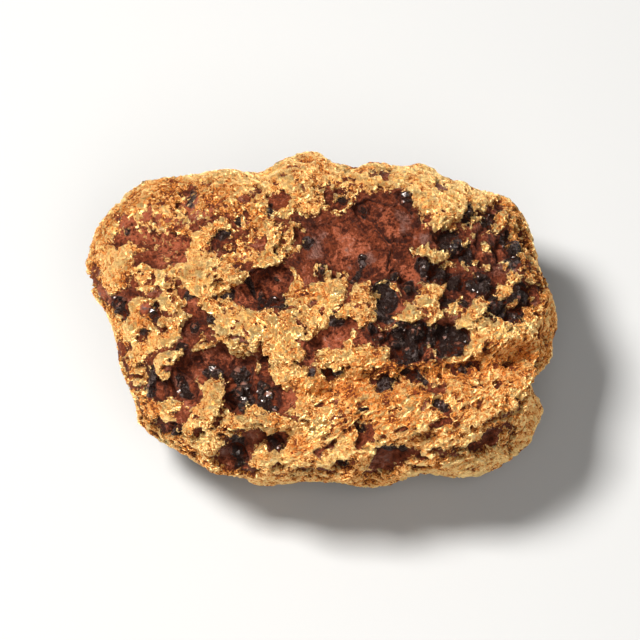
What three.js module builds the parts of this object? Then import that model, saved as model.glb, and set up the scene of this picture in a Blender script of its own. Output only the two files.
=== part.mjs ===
// Gold nugget: native gold grown through red-brown ironstone with black iron oxide,
// all one natural piece. It lies on the worn patch of its underside.
//
// Millimetres, +Z up. The origin is on the surface that the nugget lies on, under the
// middle of its box. The long way runs along X. The broad face, where most of the gold
// and the bare ironstone show, looks up and towards -Y.
//
// The face is laid out square on, from FACE_VIEW_DISTANCE in front of it: x runs to the
// right, y up the face, and w out of it, all from the heart of the nugget.
import * as THREE from "three";
import { ImprovedNoise } from "three/addons/math/ImprovedNoise.js";
import { mergeVertices } from "three/addons/utils/BufferGeometryUtils.js";

const { smoothstep, lerp, degToRad, clamp, seededRandom } = THREE.MathUtils;

// Driving sizes
const FACE_LEAN = degToRad(62); // the face looks this far up from level
const FACE_VIEW_DISTANCE = 600;
const FACE_BULGE = 9.6; // from the heart out to the face
const BACK_BULGE = 9.9; // from the heart back to the underside
const RIM_FALL = 0.3; // how far the rim drops back for each millimetre up the face
const FACE_FULLNESS = 2.5; // 2 is an ellipsoid's round edge, and more is squarer
const BACK_FULLNESS = 2.15;
const EDGE_LOBES_SPAN = degToRad(16); // the lobes fade to the edge's average over this angle
const HEART = { y: 0.4, z: 8.5 }; // the heart's place over the surface it lies on

// How things change from the edge at 0 to the middle of the face or the back at 1
const LOBES_REACH = 0.2; // the edge's lobes fade away
const AVERAGE_EDGE = [0.25, 0.6]; // the sides take on the edge's average
const FORMS_FULL = 0.35; // the forms of the relief come to full height
const ROUGHNESS_FULL = 0.6; // the roughness comes to full height
const FACE_ROUGHNESS = [0.1, 0.6]; // the roughness turns into that of the face

// Fineness of the facets and of the drawn edge
const EDGE_SPLITS = 21; // each edge of the starting icosahedron becomes one more than this
const FACE_CROWDING = 0.24; // radians by which facets crowd from the back to the face
const OUTLINE_STEPS = 12; // steps of the curve from one point of the outline to the next
const AVERAGE_SAMPLES = 9; // places on the edge that its average is taken from

// Edge of the face, square on, anticlockwise from the left end over the top
const OUTLINE = [
  [-20, 4.4], [-19.9, 5.5], [-19.3, 6.8], [-18.8, 8.1], [-17.7, 9.4], [-16.5, 10.4],
  [-15.2, 11.7], [-13.8, 12], [-11.9, 12.2], [-9.8, 12.3], [-7.7, 12.7], [-5.5, 12.3],
  [-4.3, 12.5], [-3.4, 13.4], [-1.7, 14], [-0.6, 14.3], [0.3, 13.7], [1.7, 12.9],
  [3.3, 12.7], [3.9, 13], [4.9, 13.2], [6.1, 12.8], [7.2, 12.9], [8.5, 13.3],
  [9.6, 12.4], [10.6, 11.7], [12.2, 11.7], [13.2, 10.4], [13.9, 11.2], [15.3, 10.7],
  [16.3, 10.1], [17.2, 9.2], [17.8, 7.8], [18.3, 5.8], [19, 3.6], [19.8, 1.8], [19.9, 0.2],
  [19.7, -1.2], [19.3, -2], [19.5, -2.8], [18.7, -4.2], [17, -6], [18.5, -6.5],
  [18.8, -7.8], [18.4, -9.4], [17.4, -11.1], [16, -12.3], [14, -13.2], [12.6, -13.4],
  [10.9, -13.3], [9.2, -12.9], [7.7, -13.4], [6, -14], [3.8, -14.3], [2.1, -14],
  [0.4, -13.7], [-1.7, -13.7], [-4.3, -14.2], [-5.7, -13.9], [-6.8, -13.3],
  [-9.2, -12.7], [-10.6, -11.9], [-12.2, -11], [-14, -10], [-15.1, -9.1], [-15.5, -7.7],
  [-16.1, -6], [-16.5, -4.3], [-17, -2.6], [-17.6, -0.3], [-18.2, 0.7], [-19.2, 1.8],
  [-19.9, 3.1],
];

// Relief of the face. Each form follows a short path, is flat for part of its reach and
// then fades to nothing; lift is how far it stands out, and sinks in where negative.
const FACE_HOLLOWS = [
  // great hollow of bare ironstone under the top edge
  { path: [[-0.6, 6.6], [2.1, 7.6], [4.2, 6], [2.2, 5.2]], reach: 3.2, lift: -1.5 },
  { path: [[-0.6, 9], [2.4, 8.9], [6.6, 9.6]], reach: 1.6, lift: -1 },
  { path: [[6.2, 8.8], [6.8, 6.6], [7.2, 4]], reach: 1.9, lift: -1.1 },
  // second hollow, a wedge that deepens to the right
  { path: [[-8, 1.8], [-5.6, 2.5], [-3.3, 3.1]], reach: 1.9, lift: -1.5 },
  // stained valley below the top left edge, and the notch above it
  { path: [[-17.1, 7.3], [-14.5, 6.6], [-11.5, 5.9]], reach: 2.1, lift: -1.2 },
  { path: [[-15.3, 8.8], [-13.4, 8.9], [-11.4, 8.4]], reach: 1.4, lift: -0.6 },
  { path: [[-11.3, 11.6], [-11.2, 9.4]], reach: 1.2, lift: -0.7 },
  // round holes left of the great hollow
  { path: [[-8.5, 6.8], [-7.6, 6]], reach: 1.5, lift: -1 },
  { path: [[-6.8, 5.8], [-6.2, 4.9]], reach: 1.2, lift: -0.7 },
  { path: [[-5.3, 6.8], [-5.2, 6.2]], reach: 1.1, lift: -0.7 },
  { path: [[-3.8, 10.4], [-3.2, 9.4]], reach: 1.3, lift: -0.7 },
  { path: [[1, 10.3], [2.2, 10.2]], reach: 1.2, lift: -0.7 },
  // channel down the left, and the hollows that it runs into
  { path: [[-11.4, 2], [-10.8, -0.4], [-10.1, -2]], reach: 1.4, lift: -1 },
  { path: [[-12.2, -5.6], [-10.4, -3.8], [-8, -3.6]], reach: 2, lift: -1.4 },
  { path: [[-14.6, -4.6], [-13.6, -6.2]], reach: 1.4, lift: -0.8 },
  // upright hollow of black ridges
  { path: [[-6.7, -3.8], [-6.5, -6.2]], reach: 2.1, lift: -1.7 },
  { path: [[-4.8, -4.4], [-4.6, -6.6], [-3.2, -6.6]], reach: 1.9, lift: -1.6 },
  // hollows near the bottom edge
  { path: [[-8, -12], [-6, -10.7], [-3, -10]], reach: 1.7, lift: -1.2 },
  { path: [[-13.4, -9.3], [-12, -9.3]], reach: 1.2, lift: -0.6 },
  // cleft that splits the bottom edge
  { path: [[3.6, -8.9], [3.9, -10.7]], reach: 1.1, lift: -0.8 },
  { path: [[4.2, -13.4], [6.4, -11.6], [8.3, -11]], reach: 1.6, lift: -1.4 },
  // long crease that sets the lower lobe back from the face
  {
    path: [[0.2, -6.6], [2.6, -5.6], [5.5, -5], [9.4, -4.5], [13.6, -3.8], [19.6, -2.6]],
    reach: 1.9,
    lift: -1.3,
  },
  // black basins right of the middle
  { path: [[6.9, -2.3], [9.4, -2], [11.9, -1.5]], reach: 1.8, lift: -1.1 },
  { path: [[0.4, -1.9], [2.1, -1.3]], reach: 1.4, lift: -0.8 },
  { path: [[1, -4.6], [2, -4.4]], reach: 1.1, lift: -0.7 },
  { path: [[5.3, -5.4]], reach: 1.3, lift: -1.5 },
  { path: [[10.2, -7.2], [10.4, -8.4]], reach: 1.1, lift: -0.7 },
  { path: [[14.6, -9.8], [14, -10.6]], reach: 1, lift: -0.7 },
  { path: [[5.4, 2], [6, 0.9]], reach: 1.2, lift: -0.9 },
  // dark ground of the right-hand end
  { path: [[10.8, 7], [13.6, 8.3], [16.4, 6.6]], reach: 1.9, lift: -1 },
  { path: [[13.2, 5.2], [15.6, 4.6], [14.6, 2.6]], reach: 2.4, lift: -1.2 },
  { path: [[10.4, 4.4], [12.4, 3.2]], reach: 1.7, lift: -1 },
  { path: [[17, 2.6], [17.8, 1.8]], reach: 1.1, lift: -0.9 },
  { path: [[16.4, 0.5]], reach: 1.1, lift: -0.9 },
];

const FACE_LUMPS = [
  // domes along the top edge
  { path: [[-2, 12], [0.4, 12.2]], reach: 2.6, lift: 0.9 },
  { path: [[4.3, 12.2]], reach: 1.6, lift: 0.7 },
  { path: [[7.4, 12], [9, 11.4]], reach: 2, lift: 0.9 },
  { path: [[10.6, 10], [11.8, 9.9]], reach: 2.3, lift: 1.1 },
  { path: [[14.2, 10]], reach: 1.5, lift: 0.8 },
  { path: [[16.2, 8.8]], reach: 1.8, lift: 0.7 },
  // gold ridge of the top left edge
  { path: [[-15.5, 10.4], [-13, 10.8]], reach: 1.8, lift: 0.6 },
  { path: [[-9.6, 10.6], [-5, 10.4]], reach: 1.9, lift: 0.7 },
  { path: [[-9.6, 8.6], [-7.4, 8.4]], reach: 1.2, lift: 0.4 },
  // forked ridge between the valley and the second hollow
  { path: [[-14.6, 1.9], [-13.2, 3.4], [-9.8, 4.6], [-6.6, 3.9]], reach: 1.3, lift: 0.9 },
  { path: [[-4.6, 4.8], [-4.4, 7.4], [-4.8, 9.2]], reach: 1.1, lift: 0.7 },
  { path: [[-12.4, 1.9], [-10.2, 2.6], [-9.4, 1.4]], reach: 1, lift: 0.6 },
  // heavy mass of gold in the middle, and the sill over it
  { path: [[-8.2, -0.7], [-4.9, -0.6], [-1.8, -1]], reach: 2.6, lift: 1.1 },
  { path: [[-3.2, -3], [0.9, -3.2]], reach: 1.6, lift: 0.8 },
  { path: [[-9.4, 1.2], [-6.8, 0.9], [-2.6, 0.8]], reach: 1, lift: 0.9 },
  // gold at the left end
  { path: [[-16.9, 4.8], [-17, 2.8]], reach: 1.9, lift: 0.8 },
  { path: [[-16.2, -3], [-16.3, -0.6]], reach: 1.7, lift: 0.7 },
  { path: [[-14, -0.2], [-12.6, 0.2]], reach: 1.1, lift: 0.6 },
  { path: [[-13.2, -3.2], [-12.8, -4]], reach: 1.6, lift: 0.8 },
  { path: [[-13.6, -7.5]], reach: 1.5, lift: 0.6 },
  { path: [[-8.5, -5.4], [-9, -7.6], [-10.2, -9.4]], reach: 1.3, lift: 0.9 },
  { path: [[-11.1, -10.6], [-8.9, -10.4]], reach: 1.6, lift: 0.6 },
  // shelf below the middle
  { path: [[-6.8, -8.6], [-3.8, -8.4], [-0.4, -7.6]], reach: 1.5, lift: 0.7 },
  { path: [[-4.6, -12.2], [0.6, -11.4]], reach: 1.6, lift: 0.5 },
  // islands of gold in the dark ground
  { path: [[8.2, 5.8], [9.8, 5.4]], reach: 1.1, lift: 0.9 },
  { path: [[7, 0.6], [8.6, 0.6]], reach: 1.3, lift: 0.9 },
  { path: [[2.2, 0.7], [4.4, 0.5]], reach: 1.3, lift: 0.8 },
  { path: [[1.6, 2.6], [4, 2.6]], reach: 1.4, lift: 0.8 },
  { path: [[9, 2.8], [9.8, 0.4]], reach: 1.2, lift: 0.9 },
  { path: [[13, 0.6], [14, 1.6]], reach: 1.6, lift: 0.9 },
  { path: [[16.2, 2.6], [16.8, 4.2]], reach: 1, lift: 0.7 },
  // lip above the crease, and the lobe below it
  { path: [[2.1, -4.2], [6.8, -3.9], [12, -2.9], [17, -1.6]], reach: 1.1, lift: 0.7 },
  { path: [[9, -9.6], [14, -8.4], [17, -7.4]], reach: 3.2, lift: 1 },
  { path: [[2.4, -11.7], [4.2, -10.2]], reach: 0.9, lift: 0.6 },
  { path: [[-16.4, 0], [-14.8, -0.6]], reach: 1.1, lift: 0.4 },
];

// Relief of the underside, in the same x and y, out of sight from in front
const BACK_HOLLOWS = [
  { path: [[-13, 5.5], [-9.5, 6.5], [-7, 5]], reach: 2.2, lift: -1.3 },
  { path: [[-15.5, -2], [-12.5, -3.5]], reach: 1.9, lift: -1.2 },
  { path: [[-3, 9], [1.5, 8.5], [4, 9.5]], reach: 1.8, lift: -1.4 },
  { path: [[9, 7.5], [12.5, 5.5], [13, 3]], reach: 2.1, lift: -1.4 },
  { path: [[14.5, -3], [12, -5.5], [12.5, -8]], reach: 1.8, lift: -1.2 },
  { path: [[4.5, -10.5], [1, -11], [-2, -10]], reach: 1.6, lift: -1.1 },
  { path: [[-9, -9], [-7, -7.5]], reach: 1.9, lift: -1.2 },
  { path: [[-18, 3.5], [-17.5, 1]], reach: 1.2, lift: -0.8 },
  { path: [[16.5, 1.5], [17.5, -0.5]], reach: 1.3, lift: -0.8 },
  { path: [[-1, 3.5], [0.5, 2]], reach: 1.2, lift: -0.9 },
];

const BACK_LUMPS = [
  { path: [[-10, 1.5], [-6, 1], [-3.5, -2.5]], reach: 2.4, lift: 0.9 },
  { path: [[5, 4.5], [7.5, 1.5]], reach: 2.3, lift: 0.9 },
  { path: [[6, -5], [9, -2.5]], reach: 2, lift: 0.8 },
  { path: [[-14.5, 9], [-11, 9.8]], reach: 1.9, lift: 0.8 },
  { path: [[7, 10.8], [10, 9.8]], reach: 1.8, lift: 0.8 },
  { path: [[-12.5, -7.5], [-13.5, -5.5]], reach: 1.6, lift: 0.7 },
  { path: [[8, -11], [10.5, -10.5]], reach: 1.7, lift: 0.8 },
  { path: [[15.5, 6], [16.5, 4]], reach: 1.7, lift: 0.7 },
  { path: [[-5, -11.2], [-3, -6.5]], reach: 1.6, lift: 0.7 },
];

// Rough surface all over: swells, knobs and crumbs, each by its length and its height
const ROUGHNESS = [
  { length: 15, height: 1.5, onFace: 0.3 },
  { length: 6.5, height: 0.8, onFace: 0.5 },
  { length: 3, height: 0.5, onFace: 0.6 },
  { length: 1.8, height: 0.3, onFace: 0.6 },
];
const KEPT_AT_EDGE = 0.25; // share of the roughness kept at the edge, to hold the outline
const FLAT_SHARE = 0.2; // part of a form's reach that is level before it fades

// Pits and knobs strewn over the sides and the underside
const STREWN = {
  count: 110,
  seed: 7,
  upTo: 0.42, // cosine from the way the face looks, past which none are strewn
  reach: [1, 2.4],
  lift: [0.35, 0.9],
  meanRadius: 14,
};

const GOLD = { color: 0xd9a548, metalness: 0.85, roughness: 0.42 };

// Distance from (x, y) to a path of one or more points
function distanceToPath(x, y, path) {
  if (path.length === 1) return Math.hypot(x - path[0][0], y - path[0][1]);
  let nearest = Infinity;
  for (let i = 1; i < path.length; i++) {
    const [ax, ay] = path[i - 1];
    const [dx, dy] = [path[i][0] - ax, path[i][1] - ay];
    const along = clamp(((x - ax) * dx + (y - ay) * dy) / (dx * dx + dy * dy), 0, 1);
    nearest = Math.min(nearest, Math.hypot(x - ax - along * dx, y - ay - along * dy));
  }
  return nearest;
}

// One where a form is level, down to zero where it ends
function faded(distance, reach) {
  return 1 - smoothstep(distance, FLAT_SHARE * reach, reach);
}

// Height that a list of forms gives at (x, y): the strongest form there holds
function relief(forms, x, y) {
  let strongest = 0;
  for (const { path, reach, lift } of forms) {
    const height = lift * faded(distanceToPath(x, y, path), reach);
    if (Math.abs(height) > Math.abs(strongest)) strongest = height;
  }
  return strongest;
}

// Distance from the heart to the edge of the face, by angle: as it is, and with its
// lobes averaged away
function makeEdge() {
  const curve = new THREE.CatmullRomCurve3(
    OUTLINE.map(([x, y]) => new THREE.Vector3(x, y, 0)),
    true,
    "centripetal",
  );
  const steps = OUTLINE.length * OUTLINE_STEPS;
  const edge = curve
    .getPoints(steps)
    .slice(0, steps)
    .map(({ x, y }) => ({ angle: Math.atan2(y, x), radius: Math.hypot(x, y) }))
    .sort((a, b) => a.angle - b.angle);
  const exact = (angle) => {
    const turn = 2 * Math.PI;
    const wrapped = ((((angle + Math.PI) % turn) + turn) % turn) - Math.PI;
    const after = edge.findIndex((point) => point.angle >= wrapped);
    if (after <= 0) return edge[0].radius;
    const [a, b] = [edge[after - 1], edge[after]];
    return lerp(a.radius, b.radius, (wrapped - a.angle) / (b.angle - a.angle || 1));
  };
  const offsets = Array.from({ length: AVERAGE_SAMPLES }, (_, i) =>
    lerp(-EDGE_LOBES_SPAN, EDGE_LOBES_SPAN, i / (AVERAGE_SAMPLES - 1)),
  );
  const average = (angle) =>
    offsets.reduce((sum, offset) => sum + exact(angle + offset), 0) / AVERAGE_SAMPLES;
  return { exact, average };
}

// Pits and knobs in turn, each by its way out from the heart
function makeStrewn() {
  seededRandom(STREWN.seed);
  return Array.from({ length: STREWN.count }, (_, i) => {
    const z = lerp(-1, STREWN.upTo, seededRandom());
    const angle = seededRandom() * 2 * Math.PI;
    const round = Math.sqrt(1 - z * z);
    return {
      way: new THREE.Vector3(round * Math.cos(angle), round * Math.sin(angle), z),
      reach: lerp(...STREWN.reach, seededRandom()),
      lift: lerp(...STREWN.lift, seededRandom()) * (i % 2 ? 1 : -1),
    };
  });
}

function strewnRelief(strewn, way) {
  let strongest = 0;
  for (const form of strewn) {
    const distance = STREWN.meanRadius * form.way.angleTo(way);
    const height = distance < form.reach ? form.lift * faded(distance, form.reach) : 0;
    if (Math.abs(height) > Math.abs(strongest)) strongest = height;
  }
  return strongest;
}

const noise = new ImprovedNoise();

function roughness(point, faceShare) {
  return ROUGHNESS.reduce((sum, { length, height, onFace }) => {
    const { x, y, z } = point.clone().divideScalar(length);
    return sum + height * lerp(1, onFace, faceShare) * noise.noise(x + length, y, z);
  }, 0);
}

// Turns a point of the unit sphere into the nugget's surface, in face millimetres
function onFace(unit, edge, strewn) {
  const evenPolar = Math.acos(clamp(unit.z, -1, 1));
  const polar = evenPolar - FACE_CROWDING * Math.sin(evenPolar);
  const front = polar < Math.PI / 2;
  const fullness = front ? FACE_FULLNESS : BACK_FULLNESS;
  const spread =
    (Math.sin(polar) ** fullness + Math.abs(Math.cos(polar)) ** fullness) ** (-1 / fullness);
  const [across, out] = [spread * Math.sin(polar), spread * Math.cos(polar)];
  const angle = Math.atan2(unit.y, unit.x);
  const [exact, average] = [edge.exact(angle), edge.average(angle)];
  const inward = Math.abs(out);
  const side = lerp(Math.min(exact, average), average, smoothstep(inward, ...AVERAGE_EDGE));
  const radius = across * lerp(side, exact, Math.exp(-((out / LOBES_REACH) ** 2)));
  const [x, y] = [radius * Math.cos(angle), radius * Math.sin(angle)];
  const forms = front
    ? relief(FACE_HOLLOWS, x, y) + relief(FACE_LUMPS, x, y)
    : -relief(BACK_HOLLOWS, x, y) - relief(BACK_LUMPS, x, y);
  const raised = smoothstep(inward, 0, FORMS_FULL) * forms;
  const w = out * (front ? FACE_BULGE : BACK_BULGE) - RIM_FALL * y + raised;
  const shrink = 1 - w / FACE_VIEW_DISTANCE;
  const point = new THREE.Vector3(x * shrink, y * shrink, w);
  const outward = new THREE.Vector3(across * Math.cos(angle), across * Math.sin(angle), out);
  const faceShare = smoothstep(out, ...FACE_ROUGHNESS);
  const rough = roughness(point, faceShare) + strewnRelief(strewn, unit);
  const kept = lerp(KEPT_AT_EDGE, 1, smoothstep(inward, 0, ROUGHNESS_FULL));
  return point.addScaledVector(outward.normalize(), kept * rough);
}

// Stands the face's frame over the surface, and wears the underside flat on it
function laidDown({ x, y, z }) {
  const [sine, cosine] = [Math.sin(FACE_LEAN), Math.cos(FACE_LEAN)];
  const height = HEART.z + y * cosine + z * sine;
  return new THREE.Vector3(x, HEART.y + y * sine - z * cosine, Math.max(height, 0));
}

function makeNugget() {
  const geometry = new THREE.IcosahedronGeometry(1, EDGE_SPLITS);
  geometry.deleteAttribute("normal");
  geometry.deleteAttribute("uv");
  const surface = mergeVertices(geometry);
  const position = surface.getAttribute("position");
  const edge = makeEdge();
  const strewn = makeStrewn();
  const unit = new THREE.Vector3();
  for (let i = 0; i < position.count; i++) {
    unit.fromBufferAttribute(position, i).normalize();
    const { x, y, z } = laidDown(onFace(unit, edge, strewn));
    position.setXYZ(i, x, y, z);
  }
  surface.computeVertexNormals();
  const nugget = new THREE.Mesh(surface, new THREE.MeshStandardMaterial(GOLD));
  nugget.name = "nugget";
  return nugget;
}

const part = new THREE.Group();
part.add(makeNugget());

export default part;
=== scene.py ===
"""The looks of a natural gold nugget: gold, the ironstone that it grew through, and black iron oxide."""
import math
import bmesh
import bpy
import numpy as np
from mathutils import Matrix, Vector, noise


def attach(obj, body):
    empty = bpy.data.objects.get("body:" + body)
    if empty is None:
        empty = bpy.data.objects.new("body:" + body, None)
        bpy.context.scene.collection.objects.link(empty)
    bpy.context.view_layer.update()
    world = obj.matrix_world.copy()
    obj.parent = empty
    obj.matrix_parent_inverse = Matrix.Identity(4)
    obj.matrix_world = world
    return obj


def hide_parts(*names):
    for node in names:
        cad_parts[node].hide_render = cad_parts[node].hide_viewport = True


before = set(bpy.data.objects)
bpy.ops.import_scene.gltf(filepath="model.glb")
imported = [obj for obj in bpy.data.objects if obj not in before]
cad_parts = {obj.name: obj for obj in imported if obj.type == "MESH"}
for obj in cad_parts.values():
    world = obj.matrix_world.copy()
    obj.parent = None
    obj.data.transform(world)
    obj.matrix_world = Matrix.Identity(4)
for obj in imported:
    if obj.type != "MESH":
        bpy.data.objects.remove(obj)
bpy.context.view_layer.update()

# The broad face leans back from the table and is looked at squarely, from this far. Sizes are in
# millimetres, and places on the face are given from its heart: x to the right, y up the face.
MM = 0.001
FACE_LEAN = math.radians(62)
HEART = np.array([0.0, 0.4, 8.5])
VIEW_DISTANCE = 600.0
FACE_UP = np.array([0.0, math.sin(FACE_LEAN), math.cos(FACE_LEAN)])
FACE_OUT = np.array([0.0, -math.cos(FACE_LEAN), math.sin(FACE_LEAN)])
PICTURE_WIDTH = 640
PIXELS_FOR_A_MILLIMETRE = 11.75
SEEN_WIDTH = PICTURE_WIDTH / PIXELS_FOR_A_MILLIMETRE

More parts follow.
